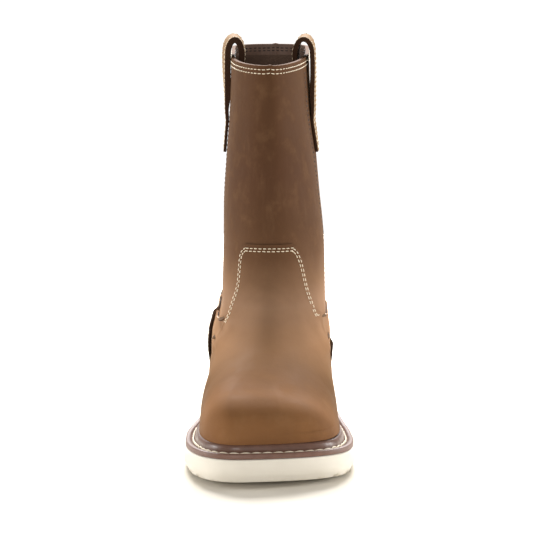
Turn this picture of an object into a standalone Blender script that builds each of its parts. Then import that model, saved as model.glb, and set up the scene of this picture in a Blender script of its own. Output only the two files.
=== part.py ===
"""Pull-on work boot with a wedge sole, left foot, made of separate pieces.

Metres, +Z up. The toe points to -Y, the heel to +Y, and +X is the outer (lateral) side.
The origin is on the floor, under the middle of the outsole's length.
Places along the foot are given as `ahead`, the distance forward from the upper's back.
"""
import math

import bmesh
import bpy
import numpy as np

# Sole
SOLE_LENGTH = 0.305
HEEL_THICKNESS = 0.033
FOREFOOT_THICKNESS = 0.0158
TOE_SPRING = 0.0048
TOE_LIP = 0.0122
SIDE_LIP = 0.0112
WAIST_LIP = 0.0096
HEEL_LIP = 0.0098
SOLE_UNDERCUT = 0.0016
SOLE_BULGE = 0.0012
SOLE_CHAMFER = 0.0009
TREAD_DEPTH = 0.0022
TREAD_PITCH = 0.0165
TREAD_GROOVE = 0.0042
TREAD_CHEVRON = 0.010
TREAD_OPENS = (1.3, 0.8)

# Welt
WELT_THICKNESS = 0.0036
BEAD_HEIGHT = 0.0086
BEAD_WIDTH = 0.0044
WELT_END = 0.27

# Upper
WALL = 0.0024
TUCK_HEIGHT = 0.042
BALL_WIDTH = 0.0960
TOE_HEIGHT = 0.060
INSTEP_HEIGHT = 0.135
COLLAR_HEIGHT = 0.2707
COLLAR_DEPTH = 0.150
COLLAR_WIDTH = 0.0558
ANKLE_WIDTH = 0.0745
COLLAR_TWIST = 0.004
TOE_SWING = 0.021
TOE_SLANT = math.radians(10)
TOE_SOFTNESS = 0.012
TOE_SWING_FROM = 0.55
ANKLE_BLEND = (0.22, 0.33)
DOME_SHARE = 0.92
DOME_DEPTH = 0.35 * COLLAR_DEPTH
DOME_FULLNESS = 2.15

# Overlays
VAMP_THICKNESS = 0.0017
COUNTER_THICKNESS = 0.0023
TONGUE_WIDTH = 0.0415
TONGUE_TOP = 0.1445
WING_HEIGHT = 0.084
WING_END = 0.40 * COLLAR_DEPTH
COUNTER_HEIGHT = 0.097
COUNTER_TILT = math.radians(8.5)
COUNTER_REACH = 0.130

# Insole and pull straps
INSOLE_THICKNESS = 0.0035
STRAP_WIDTH = 0.026
STRAP_THICKNESS = 0.0022
STRAP_RISE = 0.0142
STRAP_OUTER_LEG = 0.0685
STRAP_INNER_LEG = 0.037
STRAP_SEWN = 0.022
STRAP_AHEAD = 0.52 * COLLAR_DEPTH
STRAP_TURN = 0.08

# Clearance between pieces that touch, and how far a cutter reaches past them
GAP = 0.0003
REACH = 0.1
BELOW = -0.02

# The upper's foot is tucked in above its lower edge, by these shares of its length
TOE_TUCK = 0.009
HEEL_TUCK = 0.012
UPPER_LENGTH = (SOLE_LENGTH - TOE_LIP - HEEL_LIP) / (1 - TOE_TUCK - HEEL_TUCK)
HEEL_Y = SOLE_LENGTH / 2 - HEEL_LIP + HEEL_TUCK * UPPER_LENGTH

# Rings of the upper are closer near its foot, and columns closer at its back and front
RINGS = 22
SIDE_COLUMNS = 24
RING_CROWDING = 1.25
COLUMN_CROWDING = 0.33
FOLLOWS_BEAD = 0.4

# Front of the side view, from the feather edge at the toe to the collar:
# distance ahead of the heel, height above the floor
FRONT_PROFILE = (
    ((1 - TOE_TUCK) * UPPER_LENGTH, 0.37 * TOE_HEIGHT),
    (1.000 * UPPER_LENGTH, 0.60 * TOE_HEIGHT),
    (0.986 * UPPER_LENGTH, 0.80 * TOE_HEIGHT),
    (0.945 * UPPER_LENGTH, 0.935 * TOE_HEIGHT),
    (0.880 * UPPER_LENGTH, 1.01 * TOE_HEIGHT),
    (0.790 * UPPER_LENGTH, 1.13 * TOE_HEIGHT),
    (0.700 * UPPER_LENGTH, 0.575 * INSTEP_HEIGHT),
    (0.625 * UPPER_LENGTH, 0.680 * INSTEP_HEIGHT),
    (0.567 * UPPER_LENGTH, 0.810 * INSTEP_HEIGHT),
    (1.035 * COLLAR_DEPTH, 0.960 * INSTEP_HEIGHT),
    (1.015 * COLLAR_DEPTH, 0.56 * COLLAR_HEIGHT),
    (1.004 * COLLAR_DEPTH, 0.75 * COLLAR_HEIGHT),
    (1.000 * COLLAR_DEPTH, 1.00 * COLLAR_HEIGHT),
)

# Back of the side view: distance ahead of the heel, height above the floor
BACK_PROFILE = (
    (HEEL_TUCK * UPPER_LENGTH, 0.12 * COLLAR_HEIGHT),
    (0.001 * UPPER_LENGTH, 0.21 * COLLAR_HEIGHT),
    (0.013 * UPPER_LENGTH, 0.32 * COLLAR_HEIGHT),
    (0.030 * UPPER_LENGTH, 0.44 * COLLAR_HEIGHT),
    (0.028 * UPPER_LENGTH, 0.56 * COLLAR_HEIGHT),
    (0.012 * UPPER_LENGTH, 0.76 * COLLAR_HEIGHT),
    (0.000 * UPPER_LENGTH, 1.00 * COLLAR_HEIGHT),
)

# Edges of the foot as shares of the ball width, medial side negative:
# share of the length, medial and lateral at the feather, medial and lateral of the body
FOOT_WIDTHS = (
    (0.00, -0.340, 0.340, -0.390, 0.400),
    (0.12, -0.340, 0.345, -0.405, 0.418),
    (0.30, -0.335, 0.355, -0.425, 0.432),
    (0.45, -0.345, 0.375, -0.415, 0.422),
    (0.58, -0.420, 0.420, -0.432, 0.437),
    (0.70, -0.490, 0.472, -0.505, 0.486),
    (0.80, -0.502, 0.487, -0.522, 0.502),
    (0.90, -0.495, 0.475, -0.520, 0.500),
    (1.00, -0.480, 0.462, -0.505, 0.488),
)

# Edges of the shaft: share of the collar height, medial, lateral
SHAFT_WIDTHS = (
    (0.280, -0.513 * ANKLE_WIDTH, 0.553 * ANKLE_WIDTH),
    (0.317, -0.484 * ANKLE_WIDTH, 0.532 * ANKLE_WIDTH),
    (0.349, -0.460 * ANKLE_WIDTH, 0.532 * ANKLE_WIDTH),
    (0.390, -0.458 * ANKLE_WIDTH, 0.529 * ANKLE_WIDTH),
    (0.52, -0.446 * ANKLE_WIDTH, 0.520 * ANKLE_WIDTH),
    (0.61, -0.444 * ANKLE_WIDTH, 0.488 * ANKLE_WIDTH),
    (0.73, -0.560 * COLLAR_WIDTH, 0.598 * COLLAR_WIDTH),
    (0.87, -0.512 * COLLAR_WIDTH, 0.526 * COLLAR_WIDTH),
    (1.00, -0.495 * COLLAR_WIDTH, 0.505 * COLLAR_WIDTH),
)

# How the sides round into the front and the back, by height:
# share of the collar height, then radius as a share of the collar depth and fullness,
# for the medial front, the lateral front and the back
ROUNDINGS = (
    (0.10, 0.40, 2.2, 0.27, 3.3, 0.26, 2.2),
    (0.22, 0.38, 2.2, 0.29, 2.8, 0.26, 2.2),
    (0.37, 0.37, 2.1, 0.37, 2.1, 0.24, 2.1),
    (0.55, 0.37, 2.1, 0.40, 2.0, 0.20, 2.1),
    (1.00, 0.42, 2.1, 0.66, 1.9, 0.14, 2.4),
)

# Which place of the back profile each hoop of the upper joins, as shares of the two lengths:
# share of the front profile, share of the back profile
HOOP_LINKS = (
    (0.00, 0.00),
    (0.12, 0.045),
    (0.40, 0.13),
    (0.60, 0.28),
    (0.80, 0.61),
    (1.00, 1.00),
)

# How far the outsole stands out past the foot: share of the length, width
LIP_WIDTHS = (
    (0.00, HEEL_LIP), (0.12, HEEL_LIP), (0.42, WAIST_LIP), (0.68, SIDE_LIP), (0.90, SIDE_LIP),
    (1.00, TOE_LIP),
)

# Profile of the storm welt: share of the lip's width, height above the outsole
WELT_PROFILE = (
    (0.000, 0.00, 0.0),
    (0.000, 0.00, 0.90 * BEAD_HEIGHT),
    (0.35 * BEAD_WIDTH, 0.00, BEAD_HEIGHT),
    (0.80 * BEAD_WIDTH, 0.00, 0.88 * BEAD_HEIGHT),
    (1.00 * BEAD_WIDTH, 0.00, 0.60 * BEAD_HEIGHT),
    (1.08 * BEAD_WIDTH, 0.00, 0.95 * WELT_THICKNESS),
    (1.02 * BEAD_WIDTH, 0.35, 0.90 * WELT_THICKNESS),
    (1.00 * BEAD_WIDTH, 0.60, 1.00 * WELT_THICKNESS),
    (1.00 * BEAD_WIDTH, 0.92, 0.94 * WELT_THICKNESS),
    (1.00 * BEAD_WIDTH, 1.00, 0.70 * WELT_THICKNESS),
    (1.00 * BEAD_WIDTH, 1.00, 0.0),
)

# Upper edge of the vamp seen from the front: medial half, then lateral half, from the middle.
# Share of the tongue's width, share of the rise from the wings to the tongue's top
VAMP_EDGE_MEDIAL = (
    (0.00, 1.000), (0.405, 0.995), (0.482, 0.94), (0.522, 0.85), (0.535, 0.74), (0.554, 0.61),
    (0.581, 0.47), (0.627, 0.35), (0.684, 0.245), (0.735, 0.155), (0.785, 0.085),
    (0.850, 0.03), (0.95, 0.00), (2.00, -0.02),
)
VAMP_EDGE_LATERAL = (
    (0.36, 1.000), (0.446, 0.965), (0.501, 0.88), (0.557, 0.765), (0.605, 0.61),
    (0.655, 0.47), (0.705, 0.35), (0.766, 0.24), (0.831, 0.145), (0.916, 0.066),
    (1.02, 0.015), (2.00, 0.00),
)

# How far a pull strap bows away from the shaft: share of the leg from its foot, distance
STRAP_BOW = ((0.45, 0.0012), (0.62, 0.0020), (0.80, 0.0028), (0.95, 0.0032))
STRAP_INNER_BOW = ((0.0, 0.0048), (0.30, 0.0038), (0.62, 0.0016), (0.80, 0.0))
STRAP_FULLNESS = 0.85

# Front edge of the heel counter seen from the side, from the back of the heel to the sole:
# share of the reach, share of the height
COUNTER_EDGE = (
    (0.00, 1.00), (0.35, 0.995), (0.55, 0.955), (0.72, 0.86), (0.85, 0.72),
    (0.94, 0.54), (0.99, 0.35), (1.00, 0.10),
)


def smooth_step(value, low, high):
    share = np.clip((value - low) / (high - low), 0.0, 1.0)
    return share * share * (3.0 - 2.0 * share)


def smooth_table(table, place):
    """Read a table's columns at a place, along a curve that keeps to the rows' order."""
    rows = np.array(table, dtype=float)
    x, y = rows[:, 0], rows[:, 1:]
    step = np.diff(x)[:, None]
    slope = np.diff(y, axis=0) / step
    tangent = np.zeros_like(y)
    tangent[0], tangent[-1] = slope[0], slope[-1]
    same_way = slope[:-1] * slope[1:] > 0
    with np.errstate(divide="ignore", invalid="ignore"):
        mean = 2.0 / (1.0 / slope[:-1] + 1.0 / slope[1:])
    tangent[1:-1] = np.where(same_way, mean, 0.0)
    place = np.clip(np.asarray(place, dtype=float), x[0], x[-1])
    row = np.clip(np.searchsorted(x, place, side="right") - 1, 0, len(x) - 2)
    width = (x[row + 1] - x[row])[..., None]
    t = ((place - x[row]) / width[..., 0])[..., None]
    return ((1 + 2 * t) * (1 - t) ** 2 * y[row] + t * (1 - t) ** 2 * width * tangent[row]
            + t * t * (3 - 2 * t) * y[row + 1] + t * t * (t - 1) * width * tangent[row + 1])


def through(points, count):
    """A round curve through the points, as `count` places evenly spaced along it."""
    points = np.array(points, dtype=float)
    ends = np.vstack([2 * points[0] - points[1], points, 2 * points[-1] - points[-2]])
    t = np.linspace(0.0, 1.0, 24, endpoint=False)[:, None]
    pieces = []
    for p0, p1, p2, p3 in zip(ends, ends[1:], ends[2:], ends[3:]):
        pieces.append(0.5 * (2 * p1 + (p2 - p0) * t + (2 * p0 - 5 * p1 + 4 * p2 - p3) * t ** 2
                             + (3 * p1 - p0 - 3 * p2 + p3) * t ** 3))
    curve = np.vstack(pieces + [points[-1:]])
    return spaced(curve, np.linspace(0.0, 1.0, count))


def spaced(curve, shares):
    """The places at the given shares of a curve's length."""
    length = np.concatenate([[0.0], np.cumsum(np.linalg.norm(np.diff(curve, axis=0), axis=1))])
    wanted = np.asarray(shares) * length[-1]
    return np.stack([np.interp(wanted, length, curve[:, k]) for k in range(curve.shape[1])], 1)


def sole_bottom(ahead):
    """Height of the outsole's underside: flat, then rising to the toe."""
    return TOE_SPRING * smooth_step(ahead, 0.68 * UPPER_LENGTH, 1.10 * UPPER_LENGTH)


def sole_top(ahead):
    """Height of the wedge's upper face, which the welt and the upper stand on."""
    rise = 1.0 - smooth_step(ahead, 0.16 * UPPER_LENGTH, 0.74 * UPPER_LENGTH)
    thickness = FOREFOOT_THICKNESS + (HEEL_THICKNESS - FOREFOOT_THICKNESS) * rise
    return sole_bottom(ahead) + thickness


def feather(ahead):
    """Height of the upper's lower edge."""
    return sole_top(ahead) + GAP


FRONT_CURVE = through(FRONT_PROFILE, 240)
BACK_CURVE = through(BACK_PROFILE, 160)


def front_ahead(height):
    """How far ahead the front of the side view is at a height."""
    return np.interp(height, FRONT_CURVE[:, 1], FRONT_CURVE[:, 0])


def back_ahead(height):
    return np.interp(height, BACK_CURVE[:, 1], BACK_CURVE[:, 0])


def roof(ahead):
    """Height of the upper's top at a place along the foot; far above it under the shaft."""
    foremost = int(np.argmax(FRONT_CURVE[:, 0]))
    above = FRONT_CURVE[foremost:]
    high = np.array([[above[-1, 0] - COLLAR_DEPTH, 4 * COLLAR_HEIGHT]])
    line = np.vstack([above, high])[::-1]
    return np.interp(ahead, line[:, 0], line[:, 1])


def centre_line(ahead, height):
    """Sideways place of the ridge: it swings to the big toe, and the collar is turned a little."""
    swing = -TOE_SWING * smooth_step(ahead, TOE_SWING_FROM * UPPER_LENGTH, 1.02 * UPPER_LENGTH)
    up = smooth_step(height, 0.5 * COLLAR_HEIGHT, COLLAR_HEIGHT)
    return swing + COLLAR_TWIST * up * (1.0 - ahead / COLLAR_DEPTH)


def rounded(share, fullness):
    """Quarter of a superellipse: 0 at its end, 1 from a full radius on."""
    share = np.clip(share, 0.0, 1.0)
    return (1.0 - (1.0 - share) ** fullness) ** (1.0 / fullness)


def half_width(ahead, height, side):
    """Distance from the ridge to the outside of the upper; side is -1 medial, 1 lateral."""
    lateral = 1 if side > 0 else 0
    foot = smooth_table(FOOT_WIDTHS, ahead / UPPER_LENGTH) * BALL_WIDTH
    tuck = smooth_step(height - feather(ahead), -0.002, TUCK_HEIGHT)
    foot_edge = foot[..., lateral] * (1 - tuck) + foot[..., 2 + lateral] * tuck
    shaft_edge = smooth_table(SHAFT_WIDTHS, height / COLLAR_HEIGHT)[..., lateral]
    up = smooth_step(height, ANKLE_BLEND[0] * COLLAR_HEIGHT, ANKLE_BLEND[1] * COLLAR_HEIGHT)
    edge = foot_edge * (1 - up) + shaft_edge * up
    full = np.abs(edge - centre_line(ahead, height))

    shape = smooth_table(ROUNDINGS, height / COLLAR_HEIGHT)
    front_radius = shape[..., 2 * lateral] * COLLAR_DEPTH
    front_fullness = shape[..., 2 * lateral + 1]
    back_radius, back_fullness = shape[..., 4] * COLLAR_DEPTH, shape[..., 5]

    room_above = np.maximum(roof(ahead) - height, 1e-9)
    room_ahead = np.maximum(front_ahead(height) - ahead, 1e-9)
    dome = np.minimum(DOME_SHARE * (roof(ahead) - feather(ahead)), DOME_DEPTH)
    over, before = room_above / dome, room_ahead / front_radius
    near = 1.0 / np.sqrt(1.0 / over ** 2 + 1.0 / before ** 2)
    plan = over ** 2 / (over ** 2 + before ** 2)
    fullness = DOME_FULLNESS * (1 - plan) + front_fullness * plan
    behind = np.maximum(ahead - back_ahead(height), 0.0) / back_radius
    return full * rounded(near, fullness) * rounded(behind, back_fullness)


def place(ahead, height, side):
    """Point on the outside of the upper at a place of the side view."""
    middle = centre_line(ahead, height)
    out = side * half_width(ahead, height, side)
    slant = math.tan(TOE_SLANT) * smooth_step(ahead, TOE_SWING_FROM * UPPER_LENGTH, UPPER_LENGTH)
    soft = 0.5 * (out + np.sqrt(out ** 2 + TOE_SOFTNESS ** 2) - TOE_SOFTNESS)
    return np.stack([middle + out, HEEL_Y - ahead + slant * soft, height], axis=-1)


def hoop(share, above_feather=None):
    """One closed hoop round the upper, back to front on the medial side, then back again."""
    dense = (1 - np.cos(np.pi * np.linspace(0, 1, 401))) / 2
    if above_feather is None:
        low = BEAD_HEIGHT + GAP
        front = FRONT_CURVE[FRONT_CURVE[:, 1] >= feather(UPPER_LENGTH) + low]
        back = BACK_CURVE[BACK_CURVE[:, 1] >= feather(0.0) + low]
        link = np.interp(share, *np.array(HOOP_LINKS).T)
        start, end = spaced(back, [link])[0], spaced(front, [share])[0]
        ahead = start[0] + (end[0] - start[0]) * dense
        height = start[1] + (end[1] - start[1]) * dense
        first = spaced(back, [0.0])[0][1] * (1 - dense) + spaced(front, [0.0])[0][1] * dense
        follow = 1 - smooth_step(share, 0.0, FOLLOWS_BEAD)
        height = height + follow * (feather(ahead) + low - first)
    else:
        last = feather(UPPER_LENGTH) + above_feather
        start, end = back_ahead(feather(0.0) + above_feather), front_ahead(last)
        ahead = start + (end - start) * dense
        height = feather(ahead) + above_feather
    even = np.linspace(0, 1, SIDE_COLUMNS + 1)
    shares = even - COLUMN_CROWDING * np.sin(2 * np.pi * even) / (2 * np.pi)
    medial = spaced(place(ahead, height, -1), shares)
    lateral = spaced(place(ahead, height, 1), shares)
    return np.vstack([medial[:-1], lateral[:0:-1]])


def upper_grid():
    """Rings of points on the outside of the upper, from the feather edge to the collar."""
    rings = [hoop(0.0, above_feather=0.0)]
    rings += [hoop(share) for share in np.linspace(0.0, 1.0, RINGS) ** RING_CROWDING]
    return np.array(rings)


def grid_normals(grid):
    """Directions out of the surface at each point of the grid."""
    around = np.roll(grid, -1, axis=1) - np.roll(grid, 1, axis=1)
    along = np.gradient(grid, axis=0)
    normal = np.cross(around, along)
    return normal / np.linalg.norm(normal, axis=2, keepdims=True)


def clear_scene():
    for item in list(bpy.data.objects):
        bpy.data.objects.remove(item, do_unlink=True)


def collection(name):
    made = bpy.data.collections.new(name)
    bpy.context.scene.collection.children.link(made)
    return made


def finish(name, color, roughness):
    material = bpy.data.materials.new(name)
    material.use_nodes = True
    shader = material.node_tree.nodes["Principled BSDF"]
    shader.inputs["Base Color"].default_value = (*color, 1.0)
    shader.inputs["Roughness"].default_value = roughness
    shader.inputs["Metallic"].default_value = 0.0
    return material


def mesh_object(name, points, faces, group, material=None):
    mesh = bpy.data.meshes.new(name)
    mesh.from_pydata([tuple(map(float, point)) for point in points], [], faces)
    mesh.validate()
    item = bpy.data.objects.new(name, mesh)
    group.objects.link(item)
    if material:
        mesh.materials.append(material)
        mesh.shade_smooth()
        mesh.set_sharp_from_angle(angle=math.radians(40))
    return item


def ring_faces(rings, columns, closed=True):
    """Quads between neighbouring rings of points."""
    faces = []
    for row in range(rings - 1):
        for column in range(columns if closed else columns - 1):
            after = (column + 1) % columns
            faces.append((row * columns + column, row * columns + after,
                          (row + 1) * columns + after, (row + 1) * columns + column))
    return faces


def strips_across(first, columns, upward):
    """Faces that close a ring of points from side to side, back to front."""
    half = columns // 2
    faces = []
    for k in range(half):
        left, right = [k, k + 1], [(columns - k) % columns, columns - k - 1]
        corners = [left[0], left[1], right[1], right[0]]
        kept = [first + c for n, c in enumerate(corners) if c != corners[n - 1]]
        for triangle in [kept[:3]] + ([[kept[0], kept[2], kept[3]]] if len(kept) == 4 else []):
            faces.append(tuple(triangle if upward else triangle[::-1]))
    return faces


def outward(ring):
    """Level directions out of a closed ring that runs back, medial, front, lateral."""
    along = np.roll(ring, -1, axis=0) - np.roll(ring, 1, axis=0)
    out = np.stack([along[:, 1], -along[:, 0], np.zeros(len(ring))], axis=1)
    return out / np.linalg.norm(out, axis=1, keepdims=True)


def lip_width(ahead):
    """How far the outsole stands out past the foot of the upper."""
    return smooth_table(LIP_WIDTHS, ahead / UPPER_LENGTH)[..., 0]


def edge_ring(foot_ring, extra):
    """The foot's outline moved out to the edge of the lip, and a little more or less."""
    ahead = HEEL_Y - foot_ring[:, 1]
    return foot_ring + outward(foot_ring) * (lip_width(ahead) + extra)[:, None]


def at_height(ring, height_of):
    ahead = HEEL_Y - ring[:, 1]
    return np.column_stack([ring[:, :2], height_of(ahead)])


def make_outsole(foot_ring, group, cutters, material):
    rings = [at_height(edge_ring(foot_ring, -SOLE_UNDERCUT - SOLE_CHAMFER), sole_bottom),
             at_height(edge_ring(foot_ring, -SOLE_UNDERCUT), lambda a: sole_bottom(a) + SOLE_CHAMFER),
             at_height(edge_ring(foot_ring, SOLE_BULGE),
                       lambda a: 0.5 * (sole_bottom(a) + sole_top(a))),
             at_height(edge_ring(foot_ring, 0.5 * SOLE_BULGE),
                       lambda a: sole_top(a) - SOLE_CHAMFER),
             at_height(edge_ring(foot_ring, 0.5 * SOLE_BULGE - SOLE_CHAMFER), sole_top),
             at_height(insole_edge(foot_ring), sole_top)]
    columns = len(foot_ring)
    faces = ring_faces(len(rings), columns) + strips_across(0, columns, upward=False)
    faces += strips_across((len(rings) - 1) * columns, columns, upward=True)
    item = mesh_object("outsole", np.vstack(rings), faces, group, material)
    cut = item.modifiers.new("tread", "BOOLEAN")
    cut.operation = "DIFFERENCE"
    cut.solver = "EXACT"
    cut.object = tread_cutter(cutters)
    return item


def tread_cutter(cutters):
    """Chevron bars across the underside, one for each groove of the tread."""
    points, faces = [], []
    reach = 0.5 * SOLE_LENGTH
    count = int((SOLE_LENGTH - 2 * TREAD_PITCH) / TREAD_PITCH)
    first = -0.5 * (count - 1) * TREAD_PITCH
    for number in range(count):
        middle = first + number * TREAD_PITCH
        top = TREAD_DEPTH + float(sole_bottom(HEEL_Y - middle))
        start = len(points)
        for x, bend in ((-reach, TREAD_CHEVRON), (0.0, -TREAD_CHEVRON), (reach, TREAD_CHEVRON)):
            for z, wide in zip((BELOW, top), TREAD_OPENS):
                for way in (-0.5, 0.5):
                    y = middle + 0.5 * bend + way * wide * TREAD_GROOVE
                    points.append((x, y, z))
        for seg in (start, start + 4):
            faces += [(seg, seg + 1, seg + 5, seg + 4), (seg + 2, seg + 6, seg + 7, seg + 3),
                      (seg, seg + 4, seg + 6, seg + 2), (seg + 1, seg + 3, seg + 7, seg + 5)]
        faces += [(start, start + 2, start + 3, start + 1),
                  (start + 8, start + 9, start + 11, start + 10)]
    return cutter_object("tread_grooves", points, faces, cutters)


def cutter_object(name, points, faces, cutters):
    item = mesh_object(name, points, faces, cutters)
    shape = bmesh.new()
    shape.from_mesh(item.data)
    bmesh.ops.recalc_face_normals(shape, faces=shape.faces)
    shape.to_mesh(item.data)
    shape.free()
    item.hide_render = True
    item.display_type = "WIRE"
    return item


def welt_columns(foot_ring):
    """Columns of the foot's outline that the welt runs along."""
    return np.where(HEEL_Y - foot_ring[:, 1] >= WELT_END * UPPER_LENGTH)[0]


def make_welt(grid, group, material):
    """Storm welt swept round the foot, open at the heel; its bead leans with the upper."""
    foot_ring = grid[0]
    ahead = HEEL_Y - foot_ring[:, 1]
    kept = welt_columns(foot_ring)
    out = outward(foot_ring)[kept]
    flare = ((grid[1] - grid[0]) * (1, 1, 0))[kept]
    rest = lip_width(ahead[kept]) - GAP - BEAD_WIDTH - 0.5 * GAP
    rows = []
    for bead, share, height in WELT_PROFILE:
        lean = flare * (1 - share) * height / BEAD_HEIGHT
        ring = foot_ring[kept] + lean + out * (GAP + bead + share * rest)[:, None]
        base = sole_top(HEEL_Y - ring[:, 1]) + GAP
        rows.append(np.column_stack([ring[:, :2], base + height]))
    sections = np.array(rows).transpose(1, 0, 2)
    count, around = sections.shape[:2]
    faces = ring_faces(count, around)
    faces.append(tuple(range(around))[::-1])
    faces.append(tuple((count - 1) * around + k for k in range(around)))
    return mesh_object("welt", sections.reshape(-1, 3), faces, group, material)


def surface(name, grid, normals, lift, group, material):
    """The grid lifted off itself, each quad split along its shorter diagonal."""
    rings, columns = grid.shape[:2]
    flat = grid.reshape(-1, 3)
    triangles = []
    for a, b, c, d in ring_faces(rings, columns):
        if np.linalg.norm(flat[a] - flat[c]) <= np.linalg.norm(flat[b] - flat[d]):
            triangles += [(a, b, c), (a, c, d)]
        else:
            triangles += [(a, b, d), (b, c, d)]
    points = (grid + normals * lift).reshape(-1, 3)
    return mesh_object(name, points, triangles, group, material)


def add_wall(item, thickness, offset):
    wall = item.modifiers.new("wall", "SOLIDIFY")
    wall.thickness = thickness
    wall.offset = offset
    wall.use_even_offset = True
    wall.use_rim = True
    return wall


def make_upper(grid, normals, group, material):
    item = surface("upper", grid, normals, 0.0, group, material)
    add_wall(item, WALL, -1.0)
    return item


def cut_with(item, cutter, operation):
    cut = item.modifiers.new(operation.lower(), "BOOLEAN")
    cut.operation = operation
    cut.solver = "EXACT"
    cut.object = cutter


def prism(name, outline, across, low, high, cutters, tilt=0.0):
    """An outline drawn on the front (across Y) or the side (across X), pushed through."""
    points = []
    for end in (low, high):
        for first, second in outline:
            tilted = second - end * math.tan(tilt)
            points.append((first, end, second) if across == "Y" else (end, first, tilted))
    count = len(outline)
    faces = [tuple(range(count)), tuple(range(2 * count - 1, count - 1, -1))]
    faces += [(k, (k + 1) % count, count + (k + 1) % count, count + k) for k in range(count)]
    return cutter_object(name, points, faces, cutters)


def vamp_outline():
    rise = TONGUE_TOP - WING_HEIGHT
    medial = through([(-x * TONGUE_WIDTH, WING_HEIGHT + z * rise) for x, z in VAMP_EDGE_MEDIAL], 26)
    lateral = through([(x * TONGUE_WIDTH, WING_HEIGHT + z * rise) for x, z in VAMP_EDGE_LATERAL], 24)
    floor = [(2.0 * TONGUE_WIDTH, BELOW), (-2.0 * TONGUE_WIDTH, BELOW)]
    return [tuple(p) for p in medial[::-1]] + [tuple(p) for p in lateral] + floor


def counter_outline(grow):
    edge = through([(x * COUNTER_REACH, z * COUNTER_HEIGHT) for x, z in COUNTER_EDGE], 18)
    line = [(HEEL_Y - x - grow, z + grow) for x, z in edge]
    bottom, behind = (line[-1][0], BELOW), HEEL_Y + REACH
    return [(behind, BELOW), (behind, line[0][1])] + line + [bottom]


def welt_room(grid, cutters):
    """Space of the welt's bead and the outsole, which the overlays stop above."""
    ahead = np.linspace(-0.05, 1.05, 23) * UPPER_LENGTH
    step = float(np.min(HEEL_Y - grid[:2, welt_columns(grid[0]), 1])) - 3 * GAP
    behind, before = ahead[ahead < step], ahead[ahead > step]
    behind, before = np.append(behind, step), np.insert(before, 0, step)
    low = [(HEEL_Y - a, float(sole_top(a)) + GAP) for a in behind]
    high = [(HEEL_Y - a, float(sole_top(a)) + 2 * GAP + BEAD_HEIGHT) for a in before]
    floor = [(HEEL_Y - ahead[-1], BELOW), (HEEL_Y - ahead[0], BELOW)]
    return prism("welt_room", low + high + floor, "X", -REACH, REACH, cutters)


def make_vamp(grid, normals, group, cutters, material):
    top = int(np.argmax(grid[:, SIDE_COLUMNS, 2] > TONGUE_TOP + VAMP_THICKNESS)) + 2
    item = surface("vamp", grid[:top], normals[:top], GAP, group, material)
    add_wall(item, VAMP_THICKNESS, 1.0)
    shape = prism("vamp_shape", vamp_outline(), "Y", -SOLE_LENGTH, HEEL_Y - WING_END, cutters)
    cut_with(item, shape, "INTERSECT")
    room = prism("counter_room", counter_outline(GAP), "X", -REACH, REACH, cutters, COUNTER_TILT)
    cut_with(item, room, "DIFFERENCE")
    cut_with(item, bpy.data.objects["welt_room"], "DIFFERENCE")
    return item


def make_counter(grid, normals, group, cutters, material):
    top = int(np.argmax(grid[:, 0, 2] > COUNTER_HEIGHT)) + 5
    item = surface("heel_counter", grid[:top], normals[:top], GAP, group, material)
    add_wall(item, COUNTER_THICKNESS, 1.0)
    shape = prism("counter_shape", counter_outline(0.0), "X", -REACH, REACH, cutters, COUNTER_TILT)
    cut_with(item, shape, "INTERSECT")
    cut_with(item, bpy.data.objects["welt_room"], "DIFFERENCE")
    return item


def insole_edge(foot_ring):
    return foot_ring - outward(foot_ring) * (WALL + 3 * GAP)


def make_insole(foot_ring, group, material):
    inset = insole_edge(foot_ring)
    low = at_height(inset, lambda a: sole_top(a) + GAP)
    high = at_height(inset, lambda a: sole_top(a) + GAP + INSOLE_THICKNESS)
    columns = len(foot_ring)
    faces = ring_faces(2, columns) + strips_across(0, columns, upward=False)
    faces += strips_across(columns, columns, upward=True)
    return mesh_object("insole", np.vstack([low, high]), faces, group, material)


def make_strap(name, side, group, material):
    """Pull strap: a ribbon sewn outside the shaft, looped over the rim and sewn inside."""
    across = np.linspace(-0.5, 0.5, 5) * STRAP_WIDTH
    stand = GAP + 0.5 * STRAP_THICKNESS
    foot, inner_foot = COLLAR_HEIGHT - STRAP_OUTER_LEG, COLLAR_HEIGHT - STRAP_INNER_LEG

    def row(height, away, inside=False):
        x = place(STRAP_AHEAD + across, np.full_like(across, height), side)[:, 0]
        if inside:
            return np.column_stack([x - side * (WALL + stand + away), np.full(5, height)])
        turned = STRAP_TURN * across * smooth_step(height, foot + STRAP_SEWN, COLLAR_HEIGHT)
        return np.column_stack([x + side * (stand + away - turned), np.full(5, height)])

    rows = [row(height, 0.0) for height in np.linspace(foot, foot + STRAP_SEWN, 4)]
    rows += [row(foot + share * STRAP_OUTER_LEG, away) for share, away in STRAP_BOW]
    rim_out = row(COLLAR_HEIGHT, STRAP_BOW[-1][1])[:, 0]
    rim_in = row(COLLAR_HEIGHT, STRAP_INNER_BOW[0][1], inside=True)[:, 0]
    middle, reach = 0.5 * (rim_out + rim_in), 0.5 * np.abs(rim_out - rim_in)
    spring = STRAP_RISE - 0.5 * STRAP_THICKNESS
    for angle in np.linspace(0.0, math.pi, 9):
        x = middle + side * reach * math.cos(angle)
        z = COLLAR_HEIGHT + spring * math.sin(angle) ** STRAP_FULLNESS
        rows.append(np.column_stack([x, np.full(5, z)]))
    rows += [row(COLLAR_HEIGHT - share * STRAP_INNER_LEG, away, inside=True)
             for share, away in STRAP_INNER_BOW[1:]]
    rows.append(row(inner_foot, 0.0, inside=True))
    y = HEEL_Y - (STRAP_AHEAD + across)
    points = [(x, y[k], z) for row in rows for k, (x, z) in enumerate(row)]
    faces = ring_faces(len(rows), 5, closed=False)
    if side > 0:
        faces = [face[::-1] for face in faces]
    item = mesh_object(name, points, faces, group, material)
    add_wall(item, STRAP_THICKNESS, 0.0)
    return item


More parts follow.
